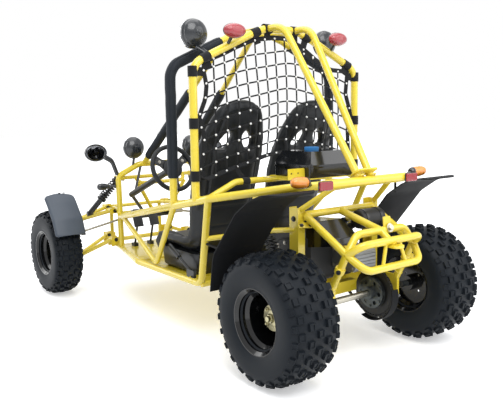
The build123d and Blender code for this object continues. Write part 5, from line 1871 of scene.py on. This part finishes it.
    def _mirrors(self) -> None:
        """Makes the mirror heads, stalks and glasses."""
        heads, glass = Sketch(), Sketch()
        wide, high = self.mirror_half
        pane = (wide - self.glass_inset, high - self.glass_inset, 0.004)
        for side in SIDES:
            spot = sided(self.mirror, side)
            self._dome(heads, (wide, high, self.mirror_depth), aimed(spot, AHEAD))
            behind = aimed(spot, -AHEAD)
            heads.loft([[behind @ Vector((x * (wide - inset), y * (high - inset), depth)) for x, y in circle(1.0, 36)]
                        for inset, depth in ((0.0, 0.0), (0.002, 0.012), (0.007, 0.008))])
            self._dome(glass, pane, behind @ Matrix.Translation((0, 0, 0.0085)))
            route = [sided(point, side) for point in self.mirror_route]
            route.append(spot + Vector((0.01, -side * 0.042, -0.016)))
            heads.tube(bent(route, 0.05), circle(self.stalk, 16), swell=lambda share: 1.05 + 0.3 * share)
        self.shop.piece("mirror_heads", heads, "lamp_black", replaces=("mirrors",))
        self.shop.piece("mirror_glasses", glass, "mirror_glass", slot="lamp_black")


@dataclass
class RearBody(Assembly):
    """Fittings of the tank, engine, axle sprocket, silencer and engine guard."""

    tank: Point = (0.26, 0.0, 0.872)
    seam_outer: Point = (0.27, 0.3, 0.022)
    seam_inner: Point = (0.258, 0.288, 0.018)
    seam_half: float = 0.003
    cap: Point = (0.26, 0.02, 0.9442)
    cap_ribs: tuple[int, float] = (28, 0.0322)
    sprocket_y: float = -0.132
    sprocket_rim: Profile = ((0.075, -0.0042), (0.1085, -0.0042), (0.1096, -0.002), (0.1096, 0.002),
                             (0.1085, 0.0042), (0.075, 0.0042))
    carrier_y: float = -0.109
    carrier_screws: tuple[int, float] = (6, 0.064)
    shaft_runs: Sequence[Pair] = ((-0.182, -0.137), (-0.083, 0.182), (0.234, 0.33), (-0.33, -0.234))
    shaft_wall: Pair = (0.0148, 0.0154)
    silencer: Pair = (0.018, 0.632)
    silencer_radius: float = 0.044
    silencer_bands: Pair = (-0.066, -0.158)
    gear_case: Point = (0.04, -0.035, 0.455)
    case_size: Point = (0.163, 0.109, 0.0265)
    case_half: float = 0.0665
    case_ribs: Sequence[float] = (-0.024, -0.008, 0.008, 0.024)
    case_screws: Pair = (0.06, 0.036)
    side_cover: Point = (0.27, 0.185, 0.45)
    cover_screws: tuple[int, float] = (8, 0.066)
    tab: Point = (-0.158, -0.036, 0.636)
    tab_bolt: Point = (-0.1713, -0.042, 0.618)
    spine_end: Point = (-0.057, 0.0, 0.857)
    bracket: Point = (0.082, 0.222, 0.636)
    bracket_screws: Sequence[Pair] = ((-0.02, -0.012), (0.02, -0.012), (0.0, 0.012))
    clamp: Point = (-0.122, 0.215, 0.459)
    clamp_band: Profile = ((0.0155, -0.014), (0.0215, -0.013), (0.0228, -0.008), (0.0228, 0.008),
                           (0.0215, 0.013), (0.0155, 0.014))
    clamp_boss: Profile = ((0.0, 0.0), (0.0135, 0.0), (0.0135, 0.012), (0.012, 0.0135), (0.0, 0.0135))

    def build(self) -> None:
        """Makes the fittings at the back."""
        self._tank()
        self._engine()
        self._sprocket()
        self._guard()

    def _tank(self) -> None:
        """The tank's moulded seam and the cap's ribs."""
        place = Matrix.Translation(station(*self.tank))
        outer, inner = rounded_box(*self.seam_outer, 5), rounded_box(*self.seam_inner, 5)
        low, high = -self.seam_half, self.seam_half
        rings = [[place @ Vector((x, y, z)) for x, y in line]
                 for line, z in ((inner, low), (outer, low), (outer, high), (inner, high))]
        self.shop.piece("tank_seam", Sketch().loft(rings, loop=True), "tank_plastic")
        rib = Sketch().prism(rounded_box(0.004, 0.0035, 0.0012, 2), 0.0, 0.0145, Matrix(), 0.001)
        count, radius = self.cap_ribs
        places = []
        for step in range(count):
            turn = 2 * math.pi * step / count
            out = Vector((math.cos(turn), math.sin(turn), 0)) * radius
            places.append(Matrix.Translation(station(*self.cap) + out) @ Matrix.Rotation(turn, 4, "Z"))
        self.shop.scatter("fuel_cap_ribs", rib, places, "blue_plastic")

    @staticmethod
    def _ring_of(centre: Vector, ring: tuple[int, float], stagger: float = 0.0) -> list[Matrix]:
        """Places on a circle about a line across the vehicle, facing left.

        Args:
            centre: Middle of the circle.
            ring: How many places there are, and the circle's radius.
            stagger: Where the first one stands, in steps.

        Returns:
            The places.
        """
        count, radius = ring
        turns = [2 * math.pi * (step + stagger) / count for step in range(count)]
        return [aimed(centre + Vector((math.cos(t), 0, math.sin(t))) * radius, ACROSS) for t in turns]

    def _engine(self) -> None:
        """The gear case's alloy cover with its ribs, the engine's screws and the silencer's bands."""
        x, y, z = self.gear_case
        half = self.case_half
        case = Sketch().prism(rounded_box(*self.case_size, 5), -half, half, aimed(station(x, y, z), ACROSS), 0.004)
        for level in self.case_ribs:
            rib = aimed(station(x - 0.0825, y, z + level), ACROSS)
            case.prism(rounded_box(0.009, 0.004, 0.0015, 2), -0.058, 0.058, rib, 0.001)
        self.shop.piece("gear_case_cover", case, "engine_alloy")
        places = self._ring_of(station(*self.side_cover), self.cover_screws)
        across, level = self.case_screws
        for fore in (-across, across):
            for rise in (-level, level):
                places.append(aimed(station(x + fore, y + 0.0664, z + rise), ACROSS))
        self.shop.scatter("engine_screws", hex_screw(0.0065, 0.005), places, "bare_steel", slot="engine_alloy")
        bands = Sketch()
        low, high = self.silencer_radius - 0.001, self.silencer_radius + 0.0022
        for y in self.silencer_bands:
            place = aimed(station(self.silencer[0], y, self.silencer[1]), ACROSS)
            bands.lathe(((low, -0.008), (high, -0.0075), (high, 0.0075), (low, 0.008)), place, 40, loop=True)
        self.shop.piece("silencer_bands", bands, "black_steel")

    def _sprocket(self) -> None:
        """The axle's bright shaft, its sprocket's dark rim and the carrier's screws."""
        axle = aimed(station(0, self.sprocket_y, REAR_AXLE_Z), ACROSS)
        rim = Sketch().lathe(self.sprocket_rim, axle, 72, loop=True)
        self.shop.piece("sprocket_rim", rim, "greased_steel", "rear_wheel_set", slot="bare_steel")
        shaft = Sketch()
        inner, outer = self.shaft_wall
        for low, high in self.shaft_runs:
            shaft.lathe(((inner, low), (outer, low), (outer, high), (inner, high)),
                        aimed(station(0, 0, REAR_AXLE_Z), ACROSS), 32, loop=True)
        self.shop.piece("axle_shaft", shaft, "zinc_steel", "rear_wheel_set", slot="bare_steel")
        places = self._ring_of(station(0, self.carrier_y, REAR_AXLE_Z), self.carrier_screws, 0.5)
        self.shop.scatter("sprocket_screws", hex_screw(0.006, 0.006), places, "drive_steel", "rear_wheel_set",
                          "bare_steel")

    def _guard(self) -> None:
        """The guard's bolt on its tab, side brackets, leg clamps and the spine tubes' end plate."""
        plates = Sketch()
        tab = aimed(station(*self.tab), Vector((-1, 0, 0.1)))
        plates.prism(rounded_box(0.046, 0.062, 0.006), -0.0025, 0.0025, tab, 0.0008)
        end = aimed(station(*self.spine_end), Vector((0.5, 0, 0.8)), ACROSS)
        plates.prism(rounded_box(0.062, 0.13, 0.014, 4), -0.0035, 0.0035, end, 0.001)
        bolts = [aimed(station(*self.tab_bolt), Vector((-1, 0, 0.3))) @ Matrix.Scale(1.5, 4)]
        screws = []
        for side in SIDES:
            bracket = aimed(sided(self.bracket, side), Vector((-0.6, side * 0.35, 0.72)))
            plates.prism(rounded_box(0.07, 0.052, 0.006), -0.002, 0.002, bracket, 0.0006)
            for x, y in self.bracket_screws:
                screws.append(bracket @ Matrix.Translation((x, y, 0.002)) @ Matrix.Scale(0.7, 4))
            clamp = sided(self.clamp, side)
            plates.lathe(self.clamp_band, aimed(clamp, Vector((0.47, 0, -0.88))), 32, loop=True)
            out = Vector((-0.55, side * 0.83, -0.05)).normalized()
            boss = aimed(clamp + out * 0.018, out)
            plates.lathe(self.clamp_boss, boss, 24)
            screws.append(boss @ Matrix.Translation((0, 0, 0.0134)) @ Matrix.Scale(0.8, 4))
        self.shop.piece("guard_plates", plates, "yellow_paint")
        self.shop.scatter("guard_bolt", hex_screw(0.009, 0.008), bolts, "zinc_steel", slot="bare_steel")
        self.shop.scatter("guard_screws", hex_screw(0.009, 0.009), screws, "black_steel")


def hex_screw(radius: float, height: float) -> Sketch:
    """A hex screw head on its washer, standing along Z."""
    shape = Sketch().lathe(((0.0, 0.0), (radius * 1.45, 0.0), (radius * 1.45, 0.0012), (0.0, 0.0012)), Matrix(), 16)
    return shape.prism(circle(radius, 6), 0.0012, height, Matrix(), 0.0008)


@dataclass
class FrameFittings(Assembly):
    """Weld beads round the tube joints and screws through the plates."""

    joints: Sequence[tuple[Point, Point, float]] = (
        ((0.7, 0.523, 0.701), (0, 0, 1), 0.019), ((0.5, 0.52, 0.742), (0, 0, 1), 0.019),
        ((-0.07, 0.036, 0.842), (0.5, 0.05, 0.8), 0.017), ((1.77, 0.298, 0.505), (0, 0, 1), 0.018),
        ((0.66, 0.45, 0.317), (-0.25, 0.05, 1), 0.017), ((1.68, 0.315, 0.492), (-1, 0.2, -0.25), 0.015),
        ((0.08, 0.215, 0.66), (-0.87, 0, -0.48), 0.0165), ((-0.145, 0.19, 0.556), (0, -0.6, 0.8), 0.0165),
        ((-0.178, 0.2, 0.545), (-0.8, -0.4, 0.5), 0.0165), ((-0.08, 0.215, 0.38), (0.47, 0, -0.88), 0.0165),
        ((-0.055, 0.172, 0.807), (0.75, 0.35, -0.55), 0.0125), ((2.13, 0.19, 0.28), (0, 0, 1), 0.0125))
    pivots: Sequence[tuple[Point, Point]] = (
        ((1.8769, 0.281, 0.505), (-1, 0, 0)), ((1.8769, 0.281, 0.312), (-1, 0, 0)),
        ((2.0669, 0.242, 0.505), (-1, 0, 0)), ((2.0669, 0.242, 0.312), (-1, 0, 0)),
        ((1.812, 0.3001, 0.726), (0, 1, 0)), ((1.812, 0.2559, 0.726), (0, -1, 0)),
        ((0.12, 0.2581, 0.655), (0, 1, 0)), ((0.12, 0.2581, 0.33), (0, 1, 0)), ((0.5, 0.2452, 0.33), (0, 1, 0)))
    bead_points: int = 40

    def build(self) -> None:
        """Makes weld beads and screws."""
        beads = [self._on(spot, along, side) @ Matrix.Scale(radius, 4)
                 for spot, along, radius in self.joints for side in SIDES]
        self.shop.scatter("weld_beads", self._bead(), beads, "yellow_paint")
        screws = [self._on(spot, along, side) for side in SIDES for spot, along in self.pivots]
        self.shop.scatter("pivot_screws", hex_screw(0.009, 0.009), screws, "black_steel")

    @staticmethod
    def _on(spot: Point, along: Point, side: int) -> Matrix:
        """A fitting's place on the left, or its mirror image on the right."""
        return aimed(sided(spot, side), Vector((along[0], side * along[1], along[2])))

    def _bead(self) -> Sketch:
        """A rippled weld bead round a tube of radius one.

        Returns:
            The bead about local Z.
        """
        rings = []
        for step in range(self.bead_points):
            turn = 2 * math.pi * step / self.bead_points
            out = Vector((math.cos(turn), math.sin(turn), 0))
            lump = 1.0 + 0.18 * math.sin(step * math.pi * 0.8)
            rings.append([out * (1.0 + 0.16 * lump * a) + Vector((0, 0, 0.2 * lump * b)) for a, b in
                          ((-0.5, -1), (1, -0.2), (1, 0.2), (-0.5, 1))])
        return Sketch().loft(rings, loop=True)


def main() -> None:
    """Builds the scene in order."""
    logging.basicConfig(level=logging.INFO, format="%(name)s: %(message)s")
    for leftover in list(bpy.data.objects):
        bpy.data.objects.remove(leftover)
    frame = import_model()
    Studio().build()
    paints = Paintbox()
    paints.dress_nodes(frame, NODE_FINISHES)
    shop = Workshop(paints)
    for kind in (Wheels, FoamSleeves, BucketSeat, SafetyNet, SteeringPad, Running, FrontFenders, Lamps, RearBody,
                 FrameFittings):
        LOG.info("building %s", kind.__name__)
        kind(shop).build()


if __name__ == "__main__":
    main()
